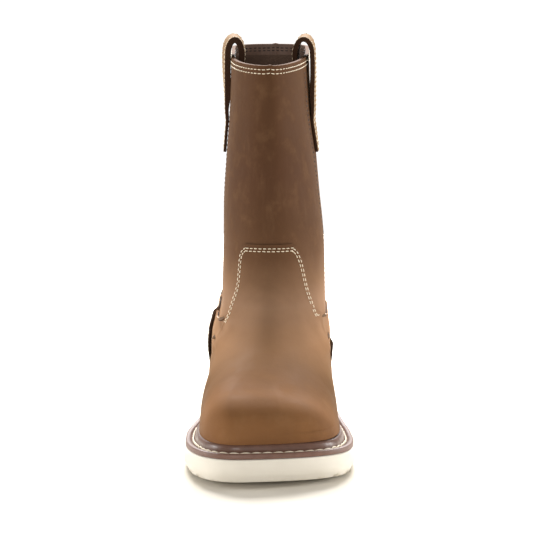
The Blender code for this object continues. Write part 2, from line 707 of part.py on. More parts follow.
def main():
    clear_scene()
    parts, cutters = collection("work_boot"), collection("cutters")
    leather = finish("oiled_leather", (0.20, 0.105, 0.052), 0.5)
    dark_leather = finish("welt_leather", (0.065, 0.035, 0.030), 0.5)
    crepe = finish("cream_rubber", (0.78, 0.71, 0.58), 0.8)
    sock = finish("insole_leather", (0.35, 0.24, 0.15), 0.8)
    grid = upper_grid()
    normals = grid_normals(grid)
    foot_ring = grid[0]
    make_outsole(foot_ring, parts, cutters, crepe)
    make_welt(grid, parts, dark_leather)
    make_upper(grid, normals, parts, leather)
    make_insole(foot_ring, parts, sock)
    welt_room(grid, cutters)
    make_vamp(grid, normals, parts, cutters, leather)
    make_counter(grid, normals, parts, cutters, leather)
    make_strap("pull_strap_medial", -1, parts, leather)
    make_strap("pull_strap_lateral", 1, parts, leather)


main()
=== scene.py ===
import math

import bpy
import numpy as np
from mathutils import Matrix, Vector
from mathutils.bvhtree import BVHTree


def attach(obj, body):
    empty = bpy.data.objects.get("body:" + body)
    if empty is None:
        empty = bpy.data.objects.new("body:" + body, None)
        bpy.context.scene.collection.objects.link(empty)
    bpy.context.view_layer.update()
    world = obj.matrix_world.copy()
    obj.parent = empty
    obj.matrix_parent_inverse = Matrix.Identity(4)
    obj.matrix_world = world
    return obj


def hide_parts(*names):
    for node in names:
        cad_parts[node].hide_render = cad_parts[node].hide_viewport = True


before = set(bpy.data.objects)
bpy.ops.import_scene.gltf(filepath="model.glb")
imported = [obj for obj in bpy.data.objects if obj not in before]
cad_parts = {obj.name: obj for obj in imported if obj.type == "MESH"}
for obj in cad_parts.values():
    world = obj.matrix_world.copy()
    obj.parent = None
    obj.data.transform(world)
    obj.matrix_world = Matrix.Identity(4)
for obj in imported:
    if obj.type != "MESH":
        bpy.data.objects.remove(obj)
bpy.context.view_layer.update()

# Metres, +Z up, toe to -Y, heel to +Y, +X the outer (lateral) side.
# Places along the foot are given as `ahead`, the distance forward from the upper's back.

# Sole
SOLE_LENGTH = 0.305
HEEL_THICKNESS = 0.033
FOREFOOT_THICKNESS = 0.0158
TOE_SPRING = 0.0048
TOE_LIP = 0.0122
SIDE_LIP = 0.0112
WAIST_LIP = 0.0096
HEEL_LIP = 0.0098
SOLE_UNDERCUT = 0.0016
SOLE_BULGE = 0.0012
SOLE_ROUNDING = 0.0009
TREAD_DEPTH = 0.0022
TREAD_PITCH = 0.0165
TREAD_GROOVE = 0.0042
TREAD_CHEVRON = 0.010

# Welt
WELT_THICKNESS = 0.0036
BEAD_HEIGHT = 0.0086
BEAD_WIDTH = 0.0044
WELT_END = 0.27
WELT_STITCH_PITCH = 0.0075

# Upper
WALL = 0.0024
TUCK_HEIGHT = 0.042
BALL_WIDTH = 0.0960
TOE_HEIGHT = 0.060
INSTEP_HEIGHT = 0.135
COLLAR_HEIGHT = 0.2707
COLLAR_DEPTH = 0.150
COLLAR_WIDTH = 0.0558
ANKLE_WIDTH = 0.0745
COLLAR_TWIST = 0.004
TOE_SWING = 0.021
TOE_SLANT = math.radians(10)
TOE_SOFTNESS = 0.012
ANKLE_BLEND = (0.22, 0.33)
TOE_SWING_FROM = 0.55
DOME_SHARE = 0.92
DOME_DEPTH = 0.35 * COLLAR_DEPTH
DOME_FULLNESS = 2.15
FACING_DEPTH = 0.0075
SEAM_RIDGE = 0.0009
RIM_BUMP = 0.0006
SEAM_WIDTH = 0.0016

# Overlays
VAMP_THICKNESS = 0.0017
SKIVE = 0.005
COUNTER_THICKNESS = 0.0011
TONGUE_WIDTH = 0.0415
TONGUE_TOP = 0.1445
WING_HEIGHT = 0.084
WING_END = 0.052
WING_DROP = 0.0044
WING_FOOT = 0.036
WING_SPARE = 0.004
FLARE_FROM = 0.955
COUNTER_HEIGHT = 0.097
COUNTER_TILT = math.radians(8.5)
COUNTER_DROP = 0.0115
COUNTER_STANDS = 0.0012
COUNTER_REACH = 0.130
COUNTER_OVERLAP = 0.009
COUNTER_RAMP = (-0.006, -0.0008)

# Insole and pull straps
INSOLE_THICKNESS = 0.0035
STRAP_WIDTH = 0.026
STRAP_THICKNESS = 0.0022
STRAP_RISE = 0.0142
STRAP_OUTER_LEG = 0.0685
STRAP_INNER_LEG = 0.037
STRAP_SEWN = 0.022
STRAP_AHEAD = 0.52 * COLLAR_DEPTH
STRAP_TURN = {-1: 0.08, 1: -0.048}
STRAP_PADDING = {-1: 0.0022, 1: 0.0013}

# Seams
STITCH_PITCH = 0.0034
EDGE_TO_STITCH = 0.0029
ROWS_APART = 0.0019
COLLAR_ROWS_APART = 0.0028
FACING_ROWS_APART = 0.002
SIDE_SEAM_AHEAD = {-1: 0.50, 1: 0.66}
SIDE_SEAM_TOP = 0.009

# Stitches: length, thread width, rise over the leather, dip of the ends into it
LEATHER_STITCH = (0.0023, 0.00066, 0.0007, 0.0004)
SUNK_STITCH = (0.0023, 0.00066, 0.0003, 0.0004)
LOCKSTITCH = (0.0072, 0.0014, 0.0026, 0.0003)

# Clearance between pieces that touch, and how far their edges are rounded
GAP = 0.0003
THIN_ROUNDING = 0.0004
EDGE_ROUNDING = 0.0005
SOCK_ROUNDING = 0.0008

# How finely the pieces are drawn: points along half a hoop, rows, crowding where it curves
UPPER_COLUMNS = 120
UPPER_ROWS = 128
ROW_CROWDING = 1.15
COLUMN_CROWDING = 0.33
WELT_COLUMNS = 200
SOLE_COLUMNS = 150
INSOLE_COLUMNS = 110
OVERLAY_COLUMNS = 90
VAMP_ROWS = 130
COUNTER_ROWS = 90

# Camera
CAMERA_DISTANCE = 2.85
CAMERA_HEIGHT = 0.582
CAMERA_TILT = math.radians(9.1)
FOCAL_PIXELS = 4090
PHOTO_SIZE = 540

TOE_TUCK = 0.009
HEEL_TUCK = 0.012
UPPER_LENGTH = (SOLE_LENGTH - TOE_LIP - HEEL_LIP) / (1 - TOE_TUCK - HEEL_TUCK)
HEEL_Y = SOLE_LENGTH / 2 - HEEL_LIP + HEEL_TUCK * UPPER_LENGTH

# Front of the side view: distance ahead of the heel, height above the floor
FRONT_PROFILE = (
    ((1 - TOE_TUCK) * UPPER_LENGTH, 0.37 * TOE_HEIGHT),
    (1.000 * UPPER_LENGTH, 0.60 * TOE_HEIGHT),
    (0.986 * UPPER_LENGTH, 0.80 * TOE_HEIGHT),
    (0.945 * UPPER_LENGTH, 0.935 * TOE_HEIGHT),
    (0.880 * UPPER_LENGTH, 1.01 * TOE_HEIGHT),
    (0.790 * UPPER_LENGTH, 1.13 * TOE_HEIGHT),
    (0.700 * UPPER_LENGTH, 0.575 * INSTEP_HEIGHT),
    (0.625 * UPPER_LENGTH, 0.680 * INSTEP_HEIGHT),
    (0.567 * UPPER_LENGTH, 0.810 * INSTEP_HEIGHT),
    (1.035 * COLLAR_DEPTH, 0.960 * INSTEP_HEIGHT),
    (1.015 * COLLAR_DEPTH, 0.56 * COLLAR_HEIGHT),
    (1.004 * COLLAR_DEPTH, 0.75 * COLLAR_HEIGHT),
    (1.000 * COLLAR_DEPTH, 1.00 * COLLAR_HEIGHT),
)

# Back of the side view: distance ahead of the heel, height above the floor
BACK_PROFILE = (
    (HEEL_TUCK * UPPER_LENGTH, 0.12 * COLLAR_HEIGHT),
    (0.001 * UPPER_LENGTH, 0.21 * COLLAR_HEIGHT),
    (0.013 * UPPER_LENGTH, 0.32 * COLLAR_HEIGHT),
    (0.030 * UPPER_LENGTH, 0.44 * COLLAR_HEIGHT),
    (0.028 * UPPER_LENGTH, 0.56 * COLLAR_HEIGHT),
    (0.012 * UPPER_LENGTH, 0.76 * COLLAR_HEIGHT),
    (0.000 * UPPER_LENGTH, 1.00 * COLLAR_HEIGHT),
)

# Edges of the foot as shares of the ball width, medial side negative:
# share of the length, medial and lateral at the feather, medial and lateral of the body
FOOT_WIDTHS = (
    (0.00, -0.340, 0.340, -0.390, 0.400),
    (0.12, -0.340, 0.345, -0.405, 0.418),
    (0.30, -0.335, 0.355, -0.425, 0.432),
    (0.45, -0.345, 0.375, -0.415, 0.422),
    (0.58, -0.420, 0.420, -0.432, 0.437),
    (0.70, -0.490, 0.472, -0.505, 0.486),
    (0.80, -0.502, 0.487, -0.522, 0.502),
    (0.90, -0.495, 0.475, -0.520, 0.500),
    (1.00, -0.480, 0.462, -0.505, 0.488),
)

# Edges of the shaft: share of the collar height, medial, lateral
SHAFT_WIDTHS = (
    (0.280, -0.513 * ANKLE_WIDTH, 0.553 * ANKLE_WIDTH),
    (0.317, -0.484 * ANKLE_WIDTH, 0.532 * ANKLE_WIDTH),
    (0.349, -0.460 * ANKLE_WIDTH, 0.532 * ANKLE_WIDTH),
    (0.390, -0.458 * ANKLE_WIDTH, 0.529 * ANKLE_WIDTH),
    (0.52, -0.446 * ANKLE_WIDTH, 0.520 * ANKLE_WIDTH),
    (0.61, -0.444 * ANKLE_WIDTH, 0.488 * ANKLE_WIDTH),
    (0.73, -0.560 * COLLAR_WIDTH, 0.598 * COLLAR_WIDTH),
    (0.87, -0.512 * COLLAR_WIDTH, 0.526 * COLLAR_WIDTH),
    (1.00, -0.495 * COLLAR_WIDTH, 0.505 * COLLAR_WIDTH),
)

# How the sides round into the front and the back: share of the collar height, then radius
# as a share of the collar depth and fullness, for medial front, lateral front and back
ROUNDINGS = (
    (0.10, 0.40, 2.2, 0.27, 3.3, 0.26, 2.2),
    (0.22, 0.38, 2.2, 0.29, 2.8, 0.26, 2.2),
    (0.37, 0.37, 2.1, 0.37, 2.1, 0.24, 2.1),
    (0.55, 0.37, 2.1, 0.40, 2.0, 0.20, 2.1),
    (1.00, 0.42, 2.1, 0.66, 1.9, 0.14, 2.4),
)

# Share of the front profile, share of the back profile that each hoop joins
HOOP_LINKS = ((0.00, 0.00), (0.12, 0.045), (0.40, 0.13), (0.60, 0.28), (0.80, 0.61), (1.00, 1.00))

# Upper edge of the vamp seen from the front, from the middle of the tongue outward:
# share of the tongue's width, share of the rise from the wings to the tongue's top
VAMP_EDGE_MEDIAL = (
    (0.405, 0.995), (0.482, 0.94), (0.522, 0.85), (0.535, 0.74), (0.554, 0.61),
    (0.581, 0.47), (0.627, 0.35), (0.684, 0.245), (0.735, 0.155), (0.785, 0.085),
    (0.850, 0.03), (0.95, 0.00),
)
VAMP_EDGE_LATERAL = (
    (0.36, 1.000), (0.446, 0.965), (0.501, 0.88), (0.557, 0.765), (0.605, 0.61),
    (0.655, 0.47), (0.705, 0.35), (0.766, 0.24), (0.831, 0.145), (0.916, 0.066),
    (1.02, 0.015),
)

# Which place of the front profile each place of the vamp's edge joins:
# share of the edge's length, share of the front's length
VAMP_LINKS = ((0.0, 0.0), (0.30, 0.36), (0.55, 0.62), (0.72, 0.76), (0.93, 0.985), (1.0, 1.0))

# How far a pull strap bows away from the shaft: share of the leg from its foot, distance
STRAP_BOW = ((0.45, 0.0012), (0.62, 0.0020), (0.80, 0.0028), (0.95, 0.0032))
STRAP_INNER_BOW = ((0.0, 0.0048), (0.30, 0.0038), (0.62, 0.0016), (0.80, 0.0))
STRAP_FULLNESS = 0.85

# Front edge of the heel counter seen from the side, from the sole up to the flat top:
# share of the reach, share of the height
COUNTER_EDGE = (
    (1.00, 0.10), (0.99, 0.35), (0.94, 0.54), (0.85, 0.72), (0.72, 0.86), (0.55, 0.955),
    (0.35, 0.995),
)

# Profile of the storm welt: share of the bead's width, share of the lip, height
WELT_SECTION = (
    (0.00, 0.00, 0.0),
    (0.00, 0.00, 0.86 * BEAD_HEIGHT),
    (0.06, 0.00, 0.95 * BEAD_HEIGHT),
    (0.18, 0.00, 0.995 * BEAD_HEIGHT),
    (0.34, 0.00, 1.00 * BEAD_HEIGHT),
    (0.50, 0.00, 0.985 * BEAD_HEIGHT),
    (0.66, 0.00, 0.935 * BEAD_HEIGHT),
    (0.80, 0.00, 0.85 * BEAD_HEIGHT),
    (0.92, 0.00, 0.73 * BEAD_HEIGHT),
    (1.00, 0.00, 0.58 * BEAD_HEIGHT),
    (1.02, 0.00, 0.44 * BEAD_HEIGHT),
    (1.01, 0.03, 0.84 * WELT_THICKNESS),
    (1.00, 0.12, 0.70 * WELT_THICKNESS),
    (1.00, 0.26, 0.68 * WELT_THICKNESS),
    (1.00, 0.38, 0.76 * WELT_THICKNESS),
    (1.00, 0.46, 0.92 * WELT_THICKNESS),
    (1.00, 0.56, 1.00 * WELT_THICKNESS),
    (1.00, 0.75, 1.00 * WELT_THICKNESS),
    (1.00, 0.90, 0.97 * WELT_THICKNESS),
    (1.00, 0.97, 0.88 * WELT_THICKNESS),
    (1.00, 1.00, 0.70 * WELT_THICKNESS),
    (1.00, 1.00, 0.20 * WELT_THICKNESS),
    (1.00, 0.99, 0.0),
)
WELT_LIP_FROM = 11
WELT_STITCH_AT = 0.15
GROOVE_HEIGHT = 0.72

# Soft creases and ridges, drawn on the front: start and end sideways and up, width, height
FRONT_FOLDS = (
    (-0.001, 0.112, 0.000, 0.078, 0.0080, 0.00070),
    (-0.014, 0.106, -0.017, 0.080, 0.0065, -0.00045),
    (0.013, 0.106, 0.017, 0.080, 0.0065, -0.00045),
    (-0.026, 0.0965, 0.024, 0.0945, 0.0040, -0.00040),
    (-0.024, 0.0885, 0.020, 0.0895, 0.0042, 0.00030),
    (-0.0272, 0.0875, -0.0380, 0.0720, 0.0034, 0.00120),
    (-0.0375, 0.0860, -0.0475, 0.0730, 0.0085, -0.00330),
    (0.0325, 0.0875, 0.0405, 0.0720, 0.0034, 0.00120),
    (0.0408, 0.0860, 0.0490, 0.0730, 0.0085, -0.00320),
    (-0.0398, 0.0762, -0.0372, 0.0708, 0.0010, -0.00090),
    (-0.030, 0.128, -0.022, 0.116, 0.0060, -0.00040),
    (0.030, 0.126, 0.024, 0.112, 0.0060, -0.00040),
)


def smooth_step(value, low, high):
    share = np.clip((value - low) / (high - low), 0.0, 1.0)
    return share * share * (3.0 - 2.0 * share)


def smooth_table(table, place_in):
    """Read a table's columns at a place, along a curve that keeps to the rows' order."""
    rows = np.array(table, dtype=float)
    x, y = rows[:, 0], rows[:, 1:]
    slope = np.diff(y, axis=0) / np.diff(x)[:, None]
    tangent = np.zeros_like(y)
    tangent[0], tangent[-1] = slope[0], slope[-1]
    same_way = slope[:-1] * slope[1:] > 0
    with np.errstate(divide="ignore", invalid="ignore"):
        mean = 2.0 / (1.0 / slope[:-1] + 1.0 / slope[1:])
    tangent[1:-1] = np.where(same_way, mean, 0.0)
    at = np.clip(np.asarray(place_in, dtype=float), x[0], x[-1])
    row = np.clip(np.searchsorted(x, at, side="right") - 1, 0, len(x) - 2)
    width = (x[row + 1] - x[row])[..., None]
    t = ((at - x[row]) / width[..., 0])[..., None]
    return ((1 + 2 * t) * (1 - t) ** 2 * y[row] + t * (1 - t) ** 2 * width * tangent[row]
            + t * t * (3 - 2 * t) * y[row + 1] + t * t * (t - 1) * width * tangent[row + 1])


def lengths_along(curve):
    return np.concatenate([[0.0], np.cumsum(np.linalg.norm(np.diff(curve, axis=0), axis=1))])


def spaced(curve, shares):
    """The places at the given shares of a curve's length."""
    length = lengths_along(curve)
    wanted = np.asarray(shares) * length[-1]
    return np.stack([np.interp(wanted, length, curve[:, k]) for k in range(curve.shape[1])], 1)


def through(points, count):
    """A round curve through the points, as `count` places evenly spaced along it."""
    points = np.array(points, dtype=float)
    ends = np.vstack([2 * points[0] - points[1], points, 2 * points[-1] - points[-2]])
    t = np.linspace(0.0, 1.0, 24, endpoint=False)[:, None]
    pieces = []
    for p0, p1, p2, p3 in zip(ends, ends[1:], ends[2:], ends[3:]):
        pieces.append(0.5 * (2 * p1 + (p2 - p0) * t + (2 * p0 - 5 * p1 + 4 * p2 - p3) * t ** 2
                             + (3 * p1 - p0 - 3 * p2 + p3) * t ** 3))
    return spaced(np.vstack(pieces + [points[-1:]]), np.linspace(0.0, 1.0, count))


def sole_bottom(ahead):
    return TOE_SPRING * smooth_step(ahead, 0.68 * UPPER_LENGTH, 1.10 * UPPER_LENGTH)


def sole_top(ahead):
    rise = 1.0 - smooth_step(ahead, 0.16 * UPPER_LENGTH, 0.74 * UPPER_LENGTH)
    return sole_bottom(ahead) + FOREFOOT_THICKNESS + (HEEL_THICKNESS - FOREFOOT_THICKNESS) * rise


def feather(ahead):
    return sole_top(ahead) + GAP


def bead_top(ahead):
    """Where the leather comes out above the welt's bead."""
    return sole_top(ahead) + BEAD_HEIGHT + 2 * GAP


FRONT_CURVE = through(FRONT_PROFILE, 240)
BACK_CURVE = through(BACK_PROFILE, 160)


def front_ahead(height):
    return np.interp(height, FRONT_CURVE[:, 1], FRONT_CURVE[:, 0])


def back_ahead(height):
    return np.interp(height, BACK_CURVE[:, 1], BACK_CURVE[:, 0])


def roof(ahead):
    """Height of the upper's top at a place along the foot; far above it under the shaft."""
    foremost = int(np.argmax(FRONT_CURVE[:, 0]))
    above = FRONT_CURVE[foremost:]
    high = np.array([[above[-1, 0] - COLLAR_DEPTH, 4 * COLLAR_HEIGHT]])
    line = np.vstack([above, high])[::-1]
    return np.interp(ahead, line[:, 0], line[:, 1])


def centre_line(ahead, height):
    swing = -TOE_SWING * smooth_step(ahead, TOE_SWING_FROM * UPPER_LENGTH, 1.02 * UPPER_LENGTH)
    up = smooth_step(height, 0.5 * COLLAR_HEIGHT, COLLAR_HEIGHT)
    return swing + COLLAR_TWIST * up * (1.0 - ahead / COLLAR_DEPTH)


def rounded(share, fullness):
    share = np.clip(share, 0.0, 1.0)
    return (1.0 - (1.0 - share) ** fullness) ** (1.0 / fullness)


def half_width(ahead, height, side):
    """Distance from the ridge to the outside of the upper; side is -1 medial, 1 lateral."""
    lateral = 1 if side > 0 else 0
    foot = smooth_table(FOOT_WIDTHS, ahead / UPPER_LENGTH) * BALL_WIDTH
    tuck = smooth_step(height - feather(ahead), -0.002, TUCK_HEIGHT)
    foot_edge = foot[..., lateral] * (1 - tuck) + foot[..., 2 + lateral] * tuck
    shaft_edge = smooth_table(SHAFT_WIDTHS, height / COLLAR_HEIGHT)[..., lateral]
    up = smooth_step(height, ANKLE_BLEND[0] * COLLAR_HEIGHT, ANKLE_BLEND[1] * COLLAR_HEIGHT)
    edge = foot_edge * (1 - up) + shaft_edge * up
    full = np.abs(edge - centre_line(ahead, height))
    shape = smooth_table(ROUNDINGS, height / COLLAR_HEIGHT)
    front_radius = shape[..., 2 * lateral] * COLLAR_DEPTH
    front_fullness = shape[..., 2 * lateral + 1]
    back_radius, back_fullness = shape[..., 4] * COLLAR_DEPTH, shape[..., 5]
    room_above = np.maximum(roof(ahead) - height, 1e-9)
    room_ahead = np.maximum(front_ahead(height) - ahead, 1e-9)
    dome = np.minimum(DOME_SHARE * (roof(ahead) - feather(ahead)), DOME_DEPTH)
    over, before = room_above / dome, room_ahead / front_radius
    near = 1.0 / np.sqrt(1.0 / over ** 2 + 1.0 / before ** 2)
    plan = over ** 2 / (over ** 2 + before ** 2)
    fullness = DOME_FULLNESS * (1 - plan) + front_fullness * plan
    behind = np.maximum(ahead - back_ahead(height), 0.0) / back_radius
    return full * rounded(near, fullness) * rounded(behind, back_fullness)


def place(ahead, height, side):
    """Point on the outside of the upper at a place of the side view."""
    middle = centre_line(ahead, height)
    out = side * half_width(ahead, height, side)
    slant = math.tan(TOE_SLANT) * smooth_step(ahead, TOE_SWING_FROM * UPPER_LENGTH, UPPER_LENGTH)
    soft = 0.5 * (out + np.sqrt(out ** 2 + TOE_SOFTNESS ** 2) - TOE_SOFTNESS)
    return np.stack([middle + out, HEEL_Y - ahead + slant * soft, height], axis=-1)


DENSE = (1 - np.cos(np.pi * np.linspace(0, 1, 501))) / 2


def hoop(share, side_columns, above_feather=None):
    """One closed hoop round the upper, back to front on the medial side, then back again."""
    if above_feather is None:
        low = BEAD_HEIGHT + GAP
        front = FRONT_CURVE[FRONT_CURVE[:, 1] >= feather(UPPER_LENGTH) + low]
        back = BACK_CURVE[BACK_CURVE[:, 1] >= feather(0.0) + low]
        link = np.interp(share, *np.array(HOOP_LINKS).T)
        start, end = spaced(back, [link])[0], spaced(front, [share])[0]
        ahead = start[0] + (end[0] - start[0]) * DENSE
        height = start[1] + (end[1] - start[1]) * DENSE
        first = spaced(back, [0.0])[0][1] * (1 - DENSE) + spaced(front, [0.0])[0][1] * DENSE
        height = height + (1 - smooth_step(share, 0.0, 0.4)) * (feather(ahead) + low - first)
    else:
        last = feather(UPPER_LENGTH) + above_feather
        start, end = back_ahead(feather(0.0) + above_feather), front_ahead(last)
        ahead = start + (end - start) * DENSE
        height = feather(ahead) + above_feather
    even = np.linspace(0, 1, side_columns + 1)
    shares = even - COLUMN_CROWDING * np.sin(2 * np.pi * even) / (2 * np.pi)
    medial = spaced(place(ahead, height, -1), shares)
    lateral = spaced(place(ahead, height, 1), shares)
    return np.vstack([medial[:-1], lateral[:0:-1]])


def normals_of(grid, closed):
    """Directions out of the surface at each point of a grid of rows."""
    if closed:
        around = np.roll(grid, -1, axis=1) - np.roll(grid, 1, axis=1)
    else:
        around = np.gradient(grid, axis=1)
    normal = np.cross(around, np.gradient(grid, axis=0))
    return normal / np.linalg.norm(normal, axis=2, keepdims=True)


def folds(points):
    """How far the worn leather stands out at each point, from the table of folds."""
    lift = np.zeros(points.shape[:-1])
    flat = points[..., [0, 2]]
    for x0, z0, x1, z1, width, height in FRONT_FOLDS:
        start, way = np.array([x0, z0]), np.array([x1 - x0, z1 - z0])
        share = np.clip(((flat - start) @ way) / (way @ way), 0.0, 1.0)
        away = np.linalg.norm(flat - start - share[..., None] * way, axis=-1)
        lift += height * np.exp(-(away / width) ** 2)
    in_front = smooth_step(HEEL_Y - points[..., 1], 0.82 * COLLAR_DEPTH, 0.98 * COLLAR_DEPTH)
    return lift * in_front


def dressed(grid, lift, closed=False):
    """The grid moved out by a lift, with the folds of the leather."""
    normal = normals_of(grid, closed)
    return grid + normal * (folds(grid) + lift)[..., None]


def put(name, data):
    """A new object with this data, in the scene."""
    item = bpy.data.objects.new(name, data)
    bpy.context.scene.collection.objects.link(item)
    return item


def new_piece(name, points, faces, materials, index=None, smooth=40):
    mesh = bpy.data.meshes.new(name)
    mesh.from_pydata(points.tolist(), [], faces)
    mesh.validate()
    for material in materials:
        mesh.materials.append(material)
    if index is not None:
        mesh.polygons.foreach_set("material_index", np.asarray(index, dtype=np.int32))
    mesh.shade_smooth()
    mesh.set_sharp_from_angle(angle=math.radians(smooth))
    return put(name, mesh)


def quads(rows, columns, closed):
    around = columns if closed else columns - 1
    row, column = np.meshgrid(np.arange(rows - 1), np.arange(around), indexing="ij")
    first = (row * columns + column).ravel()
    after = (row * columns + (column + 1) % columns).ravel()
    return np.stack([first, after, after + columns, first + columns], axis=1)


def sheet(name, outer, inner, materials, closed=False, inner_index=None):
    """A sheet of leather: its face, its cut edges and its flesh side, as one closed skin."""
    rows, columns = outer.shape[:2]
    count = rows * columns
    face = quads(rows, columns, closed)
    back = face[:, ::-1] + count
    last = (rows - 1) * columns
    steps = columns if closed else columns - 1
    edge = []
    for k in range(steps):
        a, b = k, (k + 1) % columns
        edge.append((a, a + count, b + count, b))
        edge.append((last + a, last + b, last + b + count, last + a + count))
    if not closed:
        for row in range(rows - 1):
            a, b = row * columns, (row + 1) * columns
            edge.append((a, b, b + count, a + count))
            a, b = a + columns - 1, b + columns - 1
            edge.append((a, a + count, b + count, b))
    index = np.concatenate([np.zeros(len(face)), np.full(len(back), 2), np.ones(len(edge))])
    if inner_index is not None:
        index[len(face):len(face) + len(back)] = inner_index
    points = np.vstack([outer.reshape(-1, 3), inner.reshape(-1, 3)])
    faces = face.tolist() + back.tolist() + edge
    return new_piece(name, points, faces, materials, index)


def soften_edges(piece, width):
    bevel = piece.modifiers.new("soft_edge", "BEVEL")
    bevel.width = width
    bevel.segments = 2
    bevel.limit_method = "ANGLE"
    bevel.angle_limit = math.radians(50)


def skin(grid, closed=False):
    """Something to lay seams on: the outside of a sheet."""
    return BVHTree.FromPolygons(grid.reshape(-1, 3).tolist(),
                                quads(*grid.shape[:2], closed).tolist())


def laid_on(tree, points):
    """Nearest places on a skin, and its directions outward there."""
    found = [tree.find_nearest(Vector(point)) for point in points]
    return np.array([hit[0] for hit in found]), np.array([hit[1] for hit in found])


def inside_edge(tree, edge, distance):
    """A line on the skin that keeps a distance from its edge, on the right of the edge's run."""
    edge = spaced(edge, np.linspace(0, 1, 900))
    way = np.gradient(edge, axis=0)
    way /= np.linalg.norm(way, axis=1, keepdims=True)
    _, out = laid_on(tree, edge)
    moved = edge - distance * np.cross(out, way)
    moved, _ = laid_on(tree, moved)
    gaps = np.linalg.norm(moved[:, None, :] - edge[None, ::3, :], axis=2).min(axis=1)
    return moved[gaps > 0.93 * distance]


# Materials

# Settings of the nodes that blend two colours and that step softly
BLEND = {"data_type": "RGBA"}
SOFT = {"interpolation_type": "SMOOTHSTEP"}

# Textures and the output that gives the pattern
CLOUDS = ("ShaderNodeTexNoise", "Fac")
CELLS = ("ShaderNodeTexVoronoi", "Distance")
WAVES = ("ShaderNodeTexWave", "Fac")

# Tones of the leather up the boot, partly its own tones and partly painted light: paler at the instep's
# height, where the upper faces up into the light, and darker low down by the welt as painted shade.
# Share of the collar height, colour
LEATHER_TONES_AND_PAINTED_LIGHT = (
    (0.0, "#563a24"), (0.10, "#684a2f"), (0.20, "#916d4f"), (0.32, "#94745c"), (0.40, "#7d5f48"),
    (0.50, "#634733"), (0.62, "#573d2b"), (0.80, "#523828"), (1.0, "#523826"),
)


def hex_color(code):
    """sRGB hex value to linear colour."""
    parts = [int(code[k:k + 2], 16) / 255 for k in (1, 3, 5)]
    return tuple(c / 12.92 if c <= 0.04045 else ((c + 0.055) / 1.055) ** 2.4 for c in parts) + (1.0,)


def add(tree, kind, settings=None, values=None, links=None):
    """Adds a node with its settings, its sockets' values and its incoming links."""
    node = tree.nodes.new(kind)
    for key, value in (settings or {}).items():
        setattr(node, key, value)
    for key, value in (values or {}).items():
        node.inputs[key].default_value = value
    for key, source in (links or {}).items():
        tree.links.new(source, node.inputs[key])
    return node


def blotch(size_mm, detail=3.0, rough=0.55):
    """Values of a cloudy pattern whose blotches are about this size."""
    return {"Scale": 1000.0 / size_mm, "Detail": detail, "Roughness": rough}


def span(low, high, to_low=0.0, to_high=1.0):
    """Values of a step from one place to another."""
    return {"From Min": low, "From Max": high, "To Min": to_low, "To Max": to_high}


def start_material(name, finish):
    """A new material with its constant values, and the place on the boot that it reads."""
    material = bpy.data.materials.new(name)
    material.use_nodes = True
    tree = material.node_tree
    shader = tree.nodes["Principled BSDF"]
    for socket, value in finish.items():
        shader.inputs[socket].default_value = value
    return material, tree, shader, add(tree, "ShaderNodeTexCoord").outputs["Object"]


def clouded(tree, where, dark, light, values, texture=CLOUDS):
    """Two tints of one colour, shared out by a pattern."""
    kind, output = texture
    pattern = add(tree, kind, None, values, {"Vector": where}).outputs[output]
    return add(tree, "ShaderNodeMix", BLEND, {6: hex_color(dark), 7: hex_color(light)},
               {"Factor": pattern}).outputs[2]


def spotted(tree, where, body, spots):
    """Blotches over a colour: their pattern, where they begin and are full, strength, tint."""
    for values, low, high, most, tint in spots:
        cloud = add(tree, CLOUDS[0], None, values, {"Vector": where}).outputs["Fac"]
        share = add(tree, "ShaderNodeMapRange", SOFT, span(low, high, 0.0, most), {"Value": cloud})
        body = add(tree, "ShaderNodeMix", BLEND, {7: hex_color(tint)},
                   {"Factor": share.outputs["Result"], 6: body}).outputs[2]
    return body


def uneven_gloss(tree, shader, where, values, step):
    """Roughness that changes with a cloudy pattern."""
    cloud = add(tree, CLOUDS[0], None, values, {"Vector": where}).outputs["Fac"]
    rough = add(tree, "ShaderNodeMapRange", SOFT, step, {"Value": cloud})
    tree.links.new(rough.outputs["Result"], shader.inputs["Roughness"])


def relief(tree, shader, where, layers):
    """Bump from several patterns: texture, its values, strength, millimetres deep."""
    below = {}
    for (kind, output), values, strength, deep_mm in layers:
        pattern = add(tree, kind, None, values, {"Vector": where}).outputs[output]
        bump = add(tree, "ShaderNodeBump", None,
                   {"Strength": strength, "Distance": deep_mm / 1000}, {"Height": pattern, **below})
        below = {"Normal": bump.outputs["Normal"]}
    tree.links.new(below["Normal"], shader.inputs["Normal"])


def two_tone(name, finish, dark, light, values, layers, texture=CLOUDS):
    """A material in two tints of one colour, with its relief."""
    material, tree, shader, where = start_material(name, finish)
    tree.links.new(clouded(tree, where, dark, light, values, texture), shader.inputs["Base Color"])
    relief(tree, shader, where, layers)
    return material, tree, shader, where


